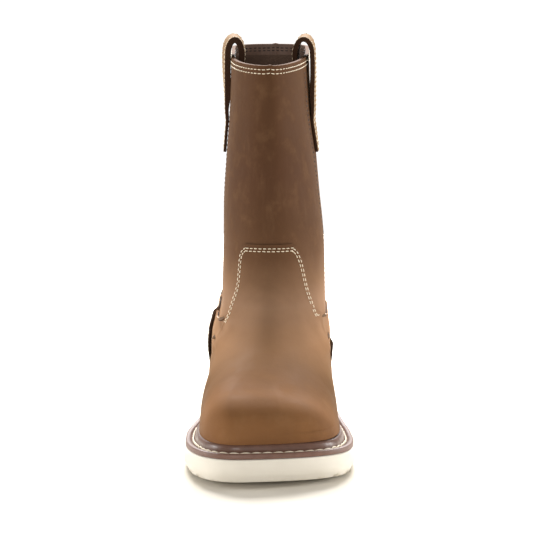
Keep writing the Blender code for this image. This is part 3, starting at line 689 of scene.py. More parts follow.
def oiled_leather(name="oiled_pull_up_leather", paler=0.0):
    # Oiled pull-up cowhide, brushed to a short nap: matt and clouded, dark on the shaft, paler over the
    # instep, browner on the toe. The pale instep is partly painted highlight where the leather faces up
    # into the light, and the darker leather low by the welt is painted shade. Grain 0.9 mm, clouds 8 to
    # 60 mm.
    material, tree, shader, where = start_material(name, {
        "Roughness": 0.6, "IOR": 1.42, "Specular IOR Level": 0.07, "Sheen Weight": 0.05,
        "Sheen Roughness": 0.35, "Sheen Tint": hex_color("#d8b284")})
    parts = add(tree, "ShaderNodeSeparateXYZ", links={"Vector": where}).outputs
    # Colour up the boot from the tones table, painted highlight and painted shade included
    height = add(tree, "ShaderNodeMapRange", SOFT, span(0.0, COLLAR_HEIGHT), {"Value": parts["Z"]})
    tones = add(tree, "ShaderNodeValToRGB", links={"Fac": height.outputs["Result"]})
    band = tones.color_ramp
    while len(band.elements) < len(LEATHER_TONES_AND_PAINTED_LIGHT):
        band.elements.new(0.5)
    for element, (at, code) in zip(band.elements, LEATHER_TONES_AND_PAINTED_LIGHT):
        element.position = at
        element.color = hex_color(code)
    toe = add(tree, "ShaderNodeMapRange", SOFT, span(-0.055, -0.115, 0.0, 0.75),
              {"Value": parts["Y"]})
    body = add(tree, "ShaderNodeMix", BLEND, {7: hex_color("#855d3c")},
               {"Factor": toe.outputs["Result"], 6: tones.outputs["Color"]}).outputs[2]
    tall = add(tree, "ShaderNodeMapping", values={"Scale": (1.0, 1.0, 0.25)},
               links={"Vector": where}).outputs["Vector"]
    marks = blotch(14, 6, 0.62)
    body = spotted(tree, where, body, ((blotch(60, 4), 0.42, 0.66, 0.20, "#472f1f"),
                                       (marks, 0.46, 0.74, 0.11, "#9b7a5b")))
    body = spotted(tree, tall, body, ((blotch(8, 5, 0.6), 0.52, 0.76, 0.10, "#86684e"),))
    if paler:
        body = add(tree, "ShaderNodeMix", BLEND, {"Factor": paler, 7: hex_color("#a58a6c")},
                   {6: body}).outputs[2]
    tree.links.new(body, shader.inputs["Base Color"])
    uneven_gloss(tree, shader, where, marks, span(0.35, 0.75, 0.66, 0.80))
    relief(tree, shader, where, ((CLOUDS, blotch(5), 0.35, 0.30),
                                 (CELLS, {"Scale": 1000 / 0.9}, 0.28, 0.06),
                                 (CLOUDS, blotch(0.6, 2), 0.30, 0.05)))
    return material


def cut_edge(name, light, dark):
    # Raw cut edge of leather: fibrous and matt, darker than the face where it is stained.
    fibres = blotch(1.2, 5, 0.65)
    return two_tone(name, {"Roughness": 0.75, "IOR": 1.45, "Specular IOR Level": 0.12},
                    dark, light, fibres, ((CLOUDS, fibres, 0.5, 0.12),))[0]


def lining_cloth():
    # Woven polyester lining: dull grey brown, threads about 0.8 mm apart.
    weave = {"Scale": 1000 / 0.8}
    return two_tone("woven_lining", {"Roughness": 0.9, "IOR": 1.45}, "#4c3a2f", "#6a5548",
                    weave, ((CELLS, weave, 0.5, 0.15),), CELLS)[0]


def facing_leather():
    # Thin dark brown split leather, sewn round the inside of the collar.
    return two_tone("facing_leather", {"Roughness": 0.6, "IOR": 1.45}, "#5d463a", "#7b6254",
                    blotch(4, 4), ((CLOUDS, blotch(0.8), 0.4, 0.08),))[0]


def welt_rubber():
    # Moulded storm welt in dark brown thermoplastic rubber: smooth, with a satin shine.
    material, tree, shader, where = two_tone(
        "moulded_storm_welt", {"IOR": 1.45}, "#4f352c", "#6f5145", blotch(7),
        ((CLOUDS, blotch(1.5), 0.25, 0.08),))
    uneven_gloss(tree, shader, where, blotch(3), span(0.3, 0.7, 0.30, 0.44))
    return material


def welt_lip():
    # The welt's flat lip, trimmed and stained: reddish brown and duller than the bead.
    return two_tone("stained_welt_lip", {"Roughness": 0.5}, "#573c32", "#7f5d50", blotch(5, 4),
                    ((CLOUDS, blotch(1.2), 0.35, 0.08),))[0]


def wedge_rubber():
    # Blown cream rubber wedge, buffed at the sides: matt, faintly mottled, with fine pores and
    # some grime near the floor.
    material, tree, shader, where = start_material("blown_cream_rubber", {"Roughness": 0.78})
    height = add(tree, "ShaderNodeSeparateXYZ", links={"Vector": where}).outputs["Z"]
    low = add(tree, "ShaderNodeMapRange", SOFT, span(0.0075, 0.0005), {"Value": height})
    cloud = add(tree, CLOUDS[0], None, blotch(9, 5), {"Vector": where}).outputs["Fac"]
    patch = add(tree, "ShaderNodeMapRange", SOFT, span(0.45, 0.70), {"Value": cloud})
    grime = add(tree, "ShaderNodeMath", {"operation": "MULTIPLY"}, None,
                {0: low.outputs["Result"], 1: patch.outputs["Result"]}).outputs[0]
    body = add(tree, "ShaderNodeMix", BLEND, {7: hex_color("#b9ab8c")},
               {"Factor": grime, 6: clouded(tree, where, "#dcd6ca", "#e9e4da", blotch(22, 4))})
    tree.links.new(body.outputs[2], shader.inputs["Base Color"])
    relief(tree, shader, where, ((CLOUDS, blotch(0.9, 4), 0.35, 0.10),
                                 (CLOUDS, blotch(14, 2), 0.3, 0.4)))
    return material


def sock_leather():
    # Leather sock glued over the insole board: tan, in uneven tints from handling.
    return two_tone("sock_leather", {"Roughness": 0.7, "IOR": 1.45}, "#7d5d40", "#a07b58",
                    blotch(18, 4), ((CLOUDS, blotch(1.0), 0.4, 0.08),))[0]


def thread(name, light, dark):
    # Bonded polyester thread with a visible twist, a little soiled in its holes.
    return two_tone(name, {"Roughness": 0.55}, dark, light, blotch(1.5),
                    ((WAVES, {"Scale": 1000 / 3.5}, 0.5, 0.08),))[0]


def pale_floor():
    # Matt seamless paper, off-white so that the shadow on it stays warm.
    return start_material("pale_floor", {"Roughness": 0.9, "Base Color": hex_color("#dfdad0"),
                                         "Specular IOR Level": 0.1})[0]


# Stitches

def stitch_tree():
    """Lays one bent stitch on every point, its length along the seam."""
    tree = bpy.data.node_groups.new("stitch_run", "GeometryNodeTree")
    face = tree.interface
    face.new_socket("Points", in_out="INPUT", socket_type="NodeSocketGeometry")
    for name in ("Stitch length", "Thread width", "Rise", "Dip"):
        face.new_socket(name, in_out="INPUT", socket_type="NodeSocketFloat")
    face.new_socket("Thread", in_out="INPUT", socket_type="NodeSocketMaterial")
    face.new_socket("Stitches", in_out="OUTPUT", socket_type="NodeSocketGeometry")
    given = add(tree, "NodeGroupInput").outputs
    back, front, down, radius = [
        add(tree, "ShaderNodeMath", {"operation": "MULTIPLY"}, {1: share}, {0: given[name]}).outputs[0]
        for name, share in (("Stitch length", -0.5), ("Stitch length", 0.5), ("Dip", -1.0),
                            ("Thread width", 0.5))]
    start, middle, end = [
        add(tree, "ShaderNodeCombineXYZ", links=links).outputs[0]
        for links in ({"X": back, "Z": down}, {"Z": given["Rise"]}, {"X": front, "Z": down})]
    line = add(tree, "GeometryNodeCurveQuadraticBezier", None, {"Resolution": 7},
               {"Start": start, "Middle": middle, "End": end}).outputs["Curve"]
    section = add(tree, "GeometryNodeCurvePrimitiveCircle", None, {"Resolution": 6},
                  {"Radius": radius}).outputs["Curve"]
    tube = add(tree, "GeometryNodeCurveToMesh", None, {"Fill Caps": True},
               {"Curve": line, "Profile Curve": section}).outputs["Mesh"]
    along, out = [
        add(tree, "GeometryNodeInputNamedAttribute", {"data_type": "FLOAT_VECTOR"},
            {"Name": name}).outputs["Attribute"] for name in ("along", "out")]
    turn = add(tree, "FunctionNodeAlignRotationToVector", {"axis": "X"},
               links={"Vector": along}).outputs["Rotation"]
    turn = add(tree, "FunctionNodeAlignRotationToVector", {"axis": "Z", "pivot_axis": "X"},
               links={"Rotation": turn, "Vector": out}).outputs["Rotation"]
    laid = add(tree, "GeometryNodeInstanceOnPoints",
               links={"Points": given["Points"], "Instance": tube, "Rotation": turn})
    real = add(tree, "GeometryNodeRealizeInstances", links={"Geometry": laid.outputs["Instances"]})
    smooth = add(tree, "GeometryNodeSetShadeSmooth", links={"Geometry": real.outputs["Geometry"]})
    colored = add(tree, "GeometryNodeSetMaterial",
                  links={"Geometry": smooth.outputs["Geometry"], "Material": given["Thread"]})
    add(tree, "NodeGroupOutput", links={"Stitches": colored.outputs["Geometry"]})
    return tree


def sew(name, runs, tree, thread_material, length, width, rise, dip):
    """Stitches for a piece: runs of (points, directions along, directions out)."""
    points = np.vstack([run[0] for run in runs])
    mesh = bpy.data.meshes.new(name)
    mesh.from_pydata(points.tolist(), [], [])
    for label, column in (("along", 1), ("out", 2)):
        values = np.vstack([run[column] for run in runs]).astype(np.float32)
        mesh.attributes.new(label, "FLOAT_VECTOR", "POINT").data.foreach_set("vector", values.ravel())
    seam = put(name + "_points", mesh)
    sewing = seam.modifiers.new("stitches", "NODES")
    sewing.node_group = tree
    given = {"Stitch length": length, "Thread width": width, "Rise": rise, "Dip": dip,
             "Thread": thread_material}
    for item in tree.interface.items_tree:
        if item.in_out == "INPUT" and item.name in given:
            sewing[item.identifier] = given[item.name]
    seen = seam.evaluated_get(bpy.context.evaluated_depsgraph_get())
    made = bpy.data.meshes.new_from_object(seen)
    piece = put(name, made)
    bpy.data.objects.remove(seam, do_unlink=True)
    piece.data.name = name
    return piece


def seam_run(tree, line, pitch):
    """One row of stitches along a line on a skin."""
    count = max(2, int(round(lengths_along(line)[-1] / pitch)))
    shares = (np.arange(count) + 0.5) / count
    points = spaced(line, shares)
    step = 0.35 / count
    along = spaced(line, np.minimum(shares + step, 1)) - spaced(line, np.maximum(shares - step, 0))
    along /= np.linalg.norm(along, axis=1, keepdims=True)
    points, out = laid_on(tree, points)
    return points, along, out


# Pieces

def make_upper(leather, edge, lining, facing):
    """Foot and shaft in one leather, lined, with a dark facing inside the collar."""
    rings = [hoop(0.0, UPPER_COLUMNS, above_feather=h) for h in np.linspace(0.0, BEAD_HEIGHT, 5)]
    shares = np.linspace(0.0, 1.0, UPPER_ROWS) ** ROW_CROWDING
    rings += [hoop(share, UPPER_COLUMNS) for share in shares]
    grid = np.array(rings)
    outer = dressed(grid, np.zeros(grid.shape[:2]), closed=True)
    inner = dressed(grid, np.full(grid.shape[:2], -WALL), closed=True)
    inner[-1, :, 2] = outer[-1, :, 2]
    behind = outer[..., 1] > HEEL_Y - 0.5 * COLLAR_DEPTH
    seam = np.exp(-((outer[..., 0] - COLLAR_TWIST * behind) / SEAM_WIDTH) ** 2)
    inner[..., 1] -= SEAM_RIDGE * seam * (outer[..., 1] > HEEL_Y - 0.3 * COLLAR_DEPTH)
    for surface in (outer, inner):
        surface[-1, :, 2] += RIM_BUMP * seam[-1]
    inner_index = np.where(COLLAR_HEIGHT - grid[1:, :, 2].ravel() < FACING_DEPTH, 3, 2)
    piece = sheet("upper_leather", outer, inner, (leather, edge, lining, facing), closed=True,
                  inner_index=inner_index)
    soften_edges(piece, THIN_ROUNDING)
    return piece, outer, inner


def ahead_of(height, side, out):
    """How far ahead the upper's outside lies `out` sideways, on its front half."""
    front = float(front_ahead(height))
    ahead = front - np.linspace(0.0, 1.0, 600) ** 2 * 0.55 * COLLAR_DEPTH
    x = np.abs(place(ahead, np.full_like(ahead, height), side)[:, 0])
    return float(np.interp(out, np.maximum.accumulate(x), ahead))


def widest(height, side):
    ahead = np.linspace(0.3, 1.0, 200) * float(front_ahead(height))
    return float(np.abs(place(ahead, np.full_like(ahead, height), side)[:, 0]).max())


def counter_curve(count):
    return through([(x * COUNTER_REACH, z * COUNTER_HEIGHT) for x, z in COUNTER_EDGE], count)


def counter_ahead(height):
    """How far ahead the heel counter's front edge is at a height."""
    line = counter_curve(200)
    return np.interp(height, line[:, 1], line[:, 0])


def vamp_edge(side):
    """The vamp's edge in the side view, from the bead up under the counter to the tongue."""
    table = VAMP_EDGE_MEDIAL if side < 0 else VAMP_EDGE_LATERAL
    spots = []
    for share, rise in table:
        out, height = share * TONGUE_WIDTH, WING_HEIGHT + rise * (TONGUE_TOP - WING_HEIGHT)
        if out > FLARE_FROM * widest(height, side):
            break
        spots.append((ahead_of(height, side, out), height))
    last_ahead, last_height = spots[-1]
    for share in (0.12, 0.25, 0.45, 0.7, 1.0):
        spots.append((last_ahead + (WING_END - last_ahead) * share,
                      last_height - WING_DROP * (1 - (1 - share) ** 3)))
    top = through(spots, 200)[::-1]
    for _ in range(24):
        top[1:-1] = (top[:-2] + 2 * top[1:-1] + top[2:]) / 4
    low_ahead = float(counter_ahead(WING_FOOT)) - COUNTER_OVERLAP
    heights = np.linspace(float(bead_top(low_ahead)), top[0, 1], 60)
    under = np.column_stack([counter_ahead(heights) - COUNTER_OVERLAP, heights])
    under = under[under[:, 0] > WING_END + WING_SPARE]
    return np.vstack([under, top])


def fan(edge_of, middle, links, rows, side_columns, bottom):
    """Rows across a piece, from its edge on one side over the middle to the other edge."""
    shares = np.linspace(0.0, 1.0, rows)
    joined = spaced(middle, np.interp(shares, *np.array(links).T))
    low = spaced(middle, [0.0])[0]
    made = []
    edges = {side: spaced(edge_of(side), shares) for side in (-1, 1)}
    for row, share in enumerate(shares):
        halves = []
        for side in (-1, 1):
            start, end, first = edges[side][row], joined[row], edges[side][0]
            ahead = start[0] + (end[0] - start[0]) * DENSE
            height = start[1] + (end[1] - start[1]) * DENSE
            chord = first[1] + (low[1] - first[1]) * DENSE
            height = height + (1 - smooth_step(share, 0.0, 0.35)) * (bottom(ahead) - chord)
            halves.append(spaced(place(ahead, height, side), np.linspace(0, 1, side_columns + 1)))
        made.append(np.vstack([halves[0], halves[1][-2::-1]]))
    return np.array(made)


def make_vamp(leather, edge, flesh):
    """The vamp with its tongue-shaped top, laid over the shaft."""
    front = FRONT_CURVE[(FRONT_CURVE[:, 1] >= bead_top(UPPER_LENGTH))
                        & (FRONT_CURVE[:, 1] <= TONGUE_TOP)]
    front = np.vstack([front, [front_ahead(TONGUE_TOP), TONGUE_TOP]])
    grid = fan(vamp_edge, front, VAMP_LINKS, VAMP_ROWS, OVERLAY_COLUMNS, bead_top)
    run = np.array([lengths_along(row) for row in grid])
    from_side = np.minimum(run, run[:, -1:] - run)
    from_top = TONGUE_TOP - grid[..., 2]
    skived = 0.5 + 0.5 * smooth_step(np.minimum(from_side, from_top), 0.0, SKIVE)
    outer = dressed(grid, GAP + VAMP_THICKNESS * skived)
    inner = dressed(grid, np.full(grid.shape[:2], GAP))
    piece = sheet("vamp_leather", outer, inner, (leather, edge, flesh))
    soften_edges(piece, EDGE_ROUNDING)
    return piece, outer


def counter_bottom(ahead):
    step = WELT_END * UPPER_LENGTH
    return sole_top(ahead) + GAP + (BEAD_HEIGHT + GAP) * smooth_step(ahead, step - 0.006, step - 0.001)


def counter_edge(side):
    """The counter's front edge in the side view; its top is cut lower on the outer side."""
    line = counter_curve(240)
    drop = COUNTER_DROP + side * math.tan(COUNTER_TILT) * 0.5 * ANKLE_WIDTH
    line[:, 1] -= drop * (line[:, 1] / COUNTER_HEIGHT) ** 2
    return line[line[:, 1] > counter_bottom(line[:, 0])]


def make_counter(leather, edge, flesh):
    """The heel counter's outside pocket, over the wings of the vamp."""
    back = BACK_CURVE[(BACK_CURVE[:, 1] >= feather(0.0)) & (BACK_CURVE[:, 1] <= COUNTER_HEIGHT)]
    back = np.vstack([back, [back_ahead(COUNTER_HEIGHT), COUNTER_HEIGHT]])
    grid = fan(counter_edge, back, ((0.0, 0.0), (1.0, 1.0)), COUNTER_ROWS, OVERLAY_COLUMNS,
               counter_bottom)
    ahead = HEEL_Y - grid[..., 1]
    over = smooth_step(ahead - counter_ahead(grid[..., 2]) + COUNTER_OVERLAP, *COUNTER_RAMP)
    low_enough = 1 - smooth_step(grid[..., 2], WING_HEIGHT + 0.001, WING_HEIGHT + 0.012)
    lift = GAP + (VAMP_THICKNESS + GAP + COUNTER_STANDS) * over * low_enough
    grid = grid[:, ::-1]
    lift = lift[:, ::-1]
    outer, inner = dressed(grid, lift + COUNTER_THICKNESS), dressed(grid, lift)
    piece = sheet("heel_counter_leather", outer, inner, (leather, edge, flesh))
    soften_edges(piece, THIN_ROUNDING)
    return piece, outer


def foot_outline(columns):
    return hoop(0.0, columns, above_feather=0.0)


def outward(ring):
    along = np.roll(ring, -1, axis=0) - np.roll(ring, 1, axis=0)
    out = np.stack([along[:, 1], -along[:, 0], np.zeros(len(ring))], axis=1)
    return out / np.linalg.norm(out, axis=1, keepdims=True)


def lip_width(ahead):
    table = ((0.0, HEEL_LIP), (0.12, HEEL_LIP), (0.42, WAIST_LIP), (0.68, SIDE_LIP),
             (0.90, SIDE_LIP), (1.0, TOE_LIP))
    return smooth_table(table, ahead / UPPER_LENGTH)[..., 0]


def at_height(ring, height_of):
    return np.column_stack([ring[:, :2], height_of(HEEL_Y - ring[:, 1])])


def edge_ring(foot_ring, extra=0.0):
    ahead = HEEL_Y - foot_ring[:, 1]
    return foot_ring + outward(foot_ring) * (lip_width(ahead) + extra)[:, None]


def make_welt(bead, lip):
    """Storm welt round the foot, open at the heel; its bead leans with the upper."""
    foot = foot_outline(WELT_COLUMNS)
    next_ring = hoop(0.0, WELT_COLUMNS)
    kept = np.where(HEEL_Y - foot[:, 1] >= WELT_END * UPPER_LENGTH)[0]
    out = outward(foot)[kept]
    flare = ((next_ring - foot) * (1, 1, 0))[kept]
    rest = lip_width(HEEL_Y - foot[kept, 1]) - GAP - BEAD_WIDTH - 0.5 * GAP
    rows = []
    for wide, share, height in WELT_SECTION:
        lean = flare * (1 - share) * min(height / BEAD_HEIGHT, 1.0)
        ring = foot[kept] + lean + out * (GAP + wide * BEAD_WIDTH + share * rest)[:, None]
        rows.append(np.column_stack([ring[:, :2], sole_top(HEEL_Y - ring[:, 1]) + GAP + height]))
    grid = np.array(rows).transpose(1, 0, 2)
    count, around = grid.shape[:2]
    faces = quads(count, around, True)
    index = np.where(faces[:, 0] % around >= WELT_LIP_FROM - 1, 1, 0)
    faces = faces.tolist() + [list(range(around))[::-1],
                              [(count - 1) * around + k for k in range(around)]]
    piece = new_piece("storm_welt", grid.reshape(-1, 3), faces, (bead, lip),
                      np.append(index, [0, 0]), smooth=50)
    ring = foot[kept] + out * (GAP + BEAD_WIDTH + WELT_STITCH_AT * rest)[:, None]
    groove = np.column_stack([ring[:, :2], sole_top(HEEL_Y - ring[:, 1]) + GAP
                              + GROOVE_HEIGHT * WELT_THICKNESS])
    return piece, groove, grid


def stacked(rings):
    """Faces that join closed rings one above another, with strips across both ends."""
    columns = len(rings[0])
    faces = quads(len(rings), columns, True).tolist()
    for first, upward in ((0, False), ((len(rings) - 1) * columns, True)):
        for k in range(columns // 2):
            corners = [k, k + 1, columns - k - 1, (columns - k) % columns]
            kept = [first + c for n, c in enumerate(corners) if c != corners[n - 1]]
            faces.append(kept if upward else kept[::-1])
    return faces


def make_outsole(rubber):
    """Wedge outsole with rounded edges, a soft shadow line below the welt and cut tread."""
    foot = foot_outline(SOLE_COLUMNS)
    top = 0.5 * SOLE_BULGE
    levels = ((0.0, -SOLE_UNDERCUT - SOLE_ROUNDING), (0.02, -SOLE_UNDERCUT - 0.3 * SOLE_ROUNDING),
              (0.06, -SOLE_UNDERCUT), (0.2, -0.3 * SOLE_UNDERCUT), (0.38, 0.8 * SOLE_BULGE),
              (0.55, SOLE_BULGE), (0.75, 0.9 * SOLE_BULGE), (0.9, 0.6 * SOLE_BULGE),
              (0.965, top - 0.12 * SOLE_ROUNDING), (0.99, top - 0.5 * SOLE_ROUNDING),
              (1.0, top - 1.1 * SOLE_ROUNDING))
    rings = []
    for share, extra in levels:
        rings.append(at_height(edge_ring(foot, extra),
                               lambda a: sole_bottom(a) + share * (sole_top(a) - sole_bottom(a))))
    middle = foot - outward(foot) * (WALL + 3 * GAP)
    rings.append(at_height(middle, sole_top))
    piece = new_piece("wedge_outsole", np.vstack(rings), stacked(rings), (rubber,), smooth=35)
    cut = piece.modifiers.new("tread", "BOOLEAN")
    cut.operation = "DIFFERENCE"
    cut.solver = "EXACT"
    cut.object = tread_cutter()
    view = bpy.context.evaluated_depsgraph_get()
    made = bpy.data.meshes.new_from_object(piece.evaluated_get(view))
    bpy.data.objects.remove(cut.object, do_unlink=True)
    piece.modifiers.clear()
    piece.data = made
    piece.data.shade_smooth()
    piece.data.set_sharp_from_angle(angle=math.radians(35))
    return piece


def tread_cutter():
    """Chevron bars across the underside, one for each groove of the tread."""
    points, faces = [], []
    reach = 0.5 * SOLE_LENGTH
    count = int((SOLE_LENGTH - 2 * TREAD_PITCH) / TREAD_PITCH)
    first = -0.5 * (count - 1) * TREAD_PITCH
    for number in range(count):
        middle = first + number * TREAD_PITCH
        top = TREAD_DEPTH + float(sole_bottom(HEEL_Y - middle))
        start = len(points)
        for x, bend in ((-reach, TREAD_CHEVRON), (0.0, -TREAD_CHEVRON), (reach, TREAD_CHEVRON)):
            for z, wide in ((-0.01, 1.3), (top, 0.8)):
                for way in (-0.5, 0.5):
                    points.append((x, middle + 0.5 * bend + way * wide * TREAD_GROOVE, z))
        for seg in (start, start + 4):
            faces += [(seg, seg + 1, seg + 5, seg + 4), (seg + 2, seg + 6, seg + 7, seg + 3),
                      (seg, seg + 4, seg + 6, seg + 2), (seg + 1, seg + 3, seg + 7, seg + 5)]
        faces += [(start, start + 2, start + 3, start + 1),
                  (start + 8, start + 9, start + 11, start + 10)]
    mesh = bpy.data.meshes.new("tread_grooves")
    mesh.from_pydata(points, [], faces)
    return put("tread_grooves", mesh)


def make_insole(sock):
    foot = foot_outline(INSOLE_COLUMNS)
    inset = foot - outward(foot) * (WALL + 3 * GAP)
    soft = foot - outward(foot) * (WALL + 3 * GAP + SOCK_ROUNDING)
    rings = [at_height(inset, lambda a: sole_top(a) + GAP),
             at_height(inset, lambda a: sole_top(a) + GAP + 0.8 * INSOLE_THICKNESS),
             at_height(soft, lambda a: sole_top(a) + GAP + INSOLE_THICKNESS)]
    return new_piece("insole_sock", np.vstack(rings), stacked(rings), (sock,))


def strap_line(side, across):
    """Middle of a pull strap's thickness, up the outside, over the rim and down inside."""
    stand = GAP + 0.5 * STRAP_THICKNESS
    foot, inner_foot = COLLAR_HEIGHT - STRAP_OUTER_LEG, COLLAR_HEIGHT - STRAP_INNER_LEG

    def spot(height, away, inside=False):
        x = float(place(np.array(STRAP_AHEAD + across), np.array(height), side)[0])
        if inside:
            return x - side * (WALL + stand + away), height
        turned = STRAP_TURN[side] * across * smooth_step(height, foot + STRAP_SEWN, COLLAR_HEIGHT)
        return x + side * (stand + away - float(turned)), height

    spots = [spot(height, 0.0) for height in np.linspace(foot, foot + STRAP_SEWN, 4)]
    spots += [spot(foot + share * STRAP_OUTER_LEG, away) for share, away in STRAP_BOW]
    rim_out = spot(COLLAR_HEIGHT, STRAP_BOW[-1][1])[0]
    rim_in = spot(COLLAR_HEIGHT, STRAP_INNER_BOW[0][1], inside=True)[0]
    middle, reach = 0.5 * (rim_out + rim_in), 0.5 * abs(rim_out - rim_in)
    spring = STRAP_RISE - 0.5 * STRAP_THICKNESS
    for angle in np.linspace(0.0, math.pi, 13):
        spots.append((middle + side * reach * math.cos(angle),
                      COLLAR_HEIGHT + spring * math.sin(angle) ** STRAP_FULLNESS))
    spots += [spot(COLLAR_HEIGHT - share * STRAP_INNER_LEG, away, inside=True)
              for share, away in STRAP_INNER_BOW[1:]]
    spots.append(spot(inner_foot, 0.0, inside=True))
    line = through(spots, 150)
    return np.column_stack([line[:, 0], np.full(len(line), HEEL_Y - STRAP_AHEAD - across), line[:, 1]])


def make_strap(name, side, leather, edge):
    """Pull strap: leather folded over webbing, sewn outside and inside the shaft."""
    across = np.linspace(-0.5, 0.5, 17) * STRAP_WIDTH
    grid = np.array([strap_line(side, a) for a in across]).transpose(1, 0, 2)
    if side > 0:
        grid = grid[:, ::-1]
    normal = normals_of(grid, False)
    half = int(grid[:, 0, 2].argmax())
    height = grid[..., 2] - COLLAR_HEIGHT
    padding = np.where(np.arange(len(grid))[:, None] < half,
                       smooth_step(height, -0.66 * STRAP_OUTER_LEG, -0.36 * STRAP_OUTER_LEG),
                       smooth_step(height, -0.55 * STRAP_INNER_LEG, -0.10 * STRAP_INNER_LEG))
    outer = grid + normal * 0.5 * STRAP_THICKNESS
    inner = grid - normal * (0.5 * STRAP_THICKNESS + STRAP_PADDING[side] * padding)[..., None]
    # The strap's inside face, turned to the shaft, is drawn in the dark cut-edge colour as painted
    # shade.
    piece = sheet(name, outer, inner, (leather, edge, edge))
    soften_edges(piece, EDGE_ROUNDING)
    return piece, outer


def down_from_collar(grid, distance):
    """The line at a distance below the collar's rim, on a grid whose last row is the rim."""
    line = []
    for column in grid.transpose(1, 0, 2):
        run = column[::-1][:30]
        line.append([np.interp(distance, lengths_along(run), run[:, axis]) for axis in range(3)])
    return np.array(line + line[:1])


def outline(grid):
    """The edge of a sheet, up its first side, over its last row and down again."""
    return np.vstack([grid[:, 0], grid[-1, 1:], grid[::-1, -1][1:]])


def in_front_of_counter(edge):
    """The part of the vamp's outline that the heel counter doesn't cover."""
    shown = HEEL_Y - edge[:, 1] > counter_ahead(edge[:, 2]) + 0.001
    middle = len(edge) // 2
    first = middle - int(np.argmin(shown[:middle][::-1])) if not shown[:middle].all() else 0
    last = middle + int(np.argmin(shown[middle:])) if not shown[middle:].all() else len(edge)
    return edge[first:last]


def two_rows(sheet_skin, edge):
    """Two rows of stitches that keep their distance from an edge."""
    return [seam_run(sheet_skin, inside_edge(sheet_skin, edge, EDGE_TO_STITCH + apart), STITCH_PITCH)
            for apart in (0.0, ROWS_APART)]


def collar_rows(sheet_skin, grid, apart):
    """Two rows of stitches round the collar."""
    return [seam_run(sheet_skin, down_from_collar(grid, EDGE_TO_STITCH + more), STITCH_PITCH)
            for more in (0.0, apart)]


def strap_rows(grids):
    """A row near each long edge of the straps, and two across each outer foot."""
    runs = []
    for grid in grids:
        strap_skin = skin(grid)
        for share in (0.09, 0.91):
            column = int(round(share * (grid.shape[1] - 1)))
            runs.append(seam_run(strap_skin, grid[3:120, column], STITCH_PITCH))
        for row in (3, 8):
            runs.append(seam_run(strap_skin, grid[row, 2:-2], STITCH_PITCH))
    return runs


def side_rows(upper_skin):
    """Two rows down each side seam of the shaft, from the collar to the counter."""
    runs = []
    heights = np.linspace(1.04 * COUNTER_HEIGHT, COLLAR_HEIGHT - SIDE_SEAM_TOP, 200)
    for side in (-1, 1):
        first = SIDE_SEAM_AHEAD[side] * COLLAR_DEPTH
        for ahead in (first, first + ROWS_APART):
            line = place(np.full_like(heights, ahead), heights, side)
            runs.append(seam_run(upper_skin, line, STITCH_PITCH))
    return runs


def dress():
    # The straps' leather is mixed 0.45 of the way toward a pale tan.
    leather, strap_leather = oiled_leather(), oiled_leather("paler_strap_leather", 0.45)
    rim = cut_edge("cut_leather_rim", "#60402a", "#46301f")
    dark_edge = cut_edge("dark_cut_edge", "#40291b", "#27180f")
    flesh = cut_edge("flesh_side", "#6f553e", "#513c2b")
    cream = thread("cream_bonded_thread", "#f8f0df", "#dccaaa")
    brown = thread("brown_bonded_thread", "#2c1c13", "#1a100b")

    upper, outside, inside = make_upper(leather, rim, lining_cloth(), facing_leather())
    vamp, vamp_outside = make_vamp(leather, dark_edge, flesh)
    counter, counter_outside = make_counter(leather, dark_edge, flesh)
    welt, groove, welt_grid = make_welt(welt_rubber(), welt_lip())
    outsole = make_outsole(wedge_rubber())
    insole = make_insole(sock_leather())
    medial, medial_outside = make_strap("medial_strap_leather", -1, strap_leather, dark_edge)
    lateral, lateral_outside = make_strap("lateral_strap_leather", 1, strap_leather, dark_edge)

    outer_skin, inner_skin = skin(outside, True), skin(inside[:, ::-1], True)
    vamp_skin, counter_skin = skin(vamp_outside), skin(counter_outside)
    lockstitches = [seam_run(skin(welt_grid, True), groove, WELT_STITCH_PITCH)]
    seams = (
        ("collar_stitches", collar_rows(outer_skin, outside, COLLAR_ROWS_APART), cream, LEATHER_STITCH),
        ("facing_stitches", collar_rows(inner_skin, inside, FACING_ROWS_APART), brown, LEATHER_STITCH),
        ("vamp_stitches", two_rows(vamp_skin, in_front_of_counter(outline(vamp_outside))), cream,
         LEATHER_STITCH),
        ("counter_stitches", two_rows(counter_skin, outline(counter_outside)), cream,
         LEATHER_STITCH),
        ("strap_stitches", strap_rows((medial_outside, lateral_outside)), cream, LEATHER_STITCH),
        ("side_seam_stitches", side_rows(outer_skin), brown, SUNK_STITCH),
        ("welt_lockstitches", lockstitches, cream, LOCKSTITCH),
    )
    tree = stitch_tree()
    pieces = [(upper, "upper", "leather"), (vamp, "vamp", "leather"),
              (counter, "heel_counter", "leather"), (welt, "welt", "welt"),
              (outsole, "outsole", "outsole"), (insole, "insole", "insole"),
              (medial, "pull_strap_medial", "strap"), (lateral, "pull_strap_lateral", "strap")]
    pieces += [(sew(name, runs, tree, material, *sizes), None, None)
               for name, runs, material, sizes in seams]
    for piece, node, slot in pieces:
        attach(piece, "root")
        if node:
            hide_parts(node)


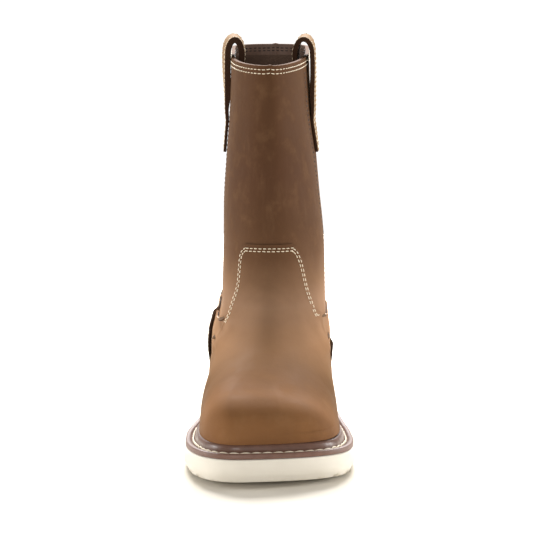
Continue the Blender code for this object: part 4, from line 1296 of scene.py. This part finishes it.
def studio():
    """Plain pale floor, soft light and the photograph's camera."""
    mesh = bpy.data.meshes.new("floor")
    corners = [(x, y, 0.0) for x, y in ((-1.6, -1.6), (1.6, -1.6), (1.6, 1.0), (-1.6, 1.0))]
    mesh.from_pydata(corners, [], [(0, 1, 2, 3)])
    mesh.materials.append(pale_floor())
    floor = put("floor", mesh)

    world = bpy.data.worlds.new("white_studio")
    bpy.context.scene.world = world
    world.use_nodes = True
    tree = world.node_tree
    seen = add(tree, "ShaderNodeLightPath").outputs["Is Camera Ray"]
    # Warm and dim light on the boot, plain white where the camera sees it
    strength = add(tree, "ShaderNodeMapRange", None, {"To Min": 0.44, "To Max": 1.1},
                   {"Value": seen})
    tint = add(tree, "ShaderNodeMix", BLEND, {6: (1.0, 0.95, 0.87, 1.0), 7: (1.0, 1.0, 1.0, 1.0)},
               {"Factor": seen})
    backdrop = tree.nodes["Background"]
    tree.links.new(tint.outputs[2], backdrop.inputs["Color"])
    tree.links.new(strength.outputs["Result"], backdrop.inputs["Strength"])

    # Lamps: name, place, aim, width and height of the panel, watts
    lamps = (
        ("top_softbox", (0.0, 1.10, 1.15), (0.0, 0.0, 0.0), 1.1, 0.6, 82),
        ("left_softbox", (-1.3, 0.25, 0.32), (0.0, 0.0, 0.17), 0.5, 0.6, 8.5),
        ("right_softbox", (1.3, 0.25, 0.32), (0.0, 0.0, 0.17), 0.5, 0.6, 11.5),
        ("front_fill", (-0.3, -2.7, 0.75), (0.0, 0.0, 0.12), 1.2, 0.8, 21),
    )
    for name, spot, aim, wide, tall, power in lamps:
        light = bpy.data.lights.new(name, "AREA")
        light.shape = "RECTANGLE"
        light.size, light.size_y = wide, tall
        light.energy = power
        lamp = put(name, light)
        lamp.location = spot
        lamp.rotation_euler = (Vector(aim) - Vector(spot)).to_track_quat("-Z", "Y").to_euler()

    view = bpy.data.cameras.new("photo_camera")
    view.sensor_fit = "HORIZONTAL"
    view.sensor_width = 36.0
    view.lens = FOCAL_PIXELS / PHOTO_SIZE * view.sensor_width
    view.clip_end = 50.0
    camera = put("photo_camera", view)
    camera.location = (0.0, -CAMERA_DISTANCE, CAMERA_HEIGHT)
    camera.rotation_euler = (math.pi / 2 - CAMERA_TILT, 0.0, 0.0)
    bpy.context.scene.camera = camera
    bpy.context.scene.view_settings.view_transform = "Standard"


dress()
studio()
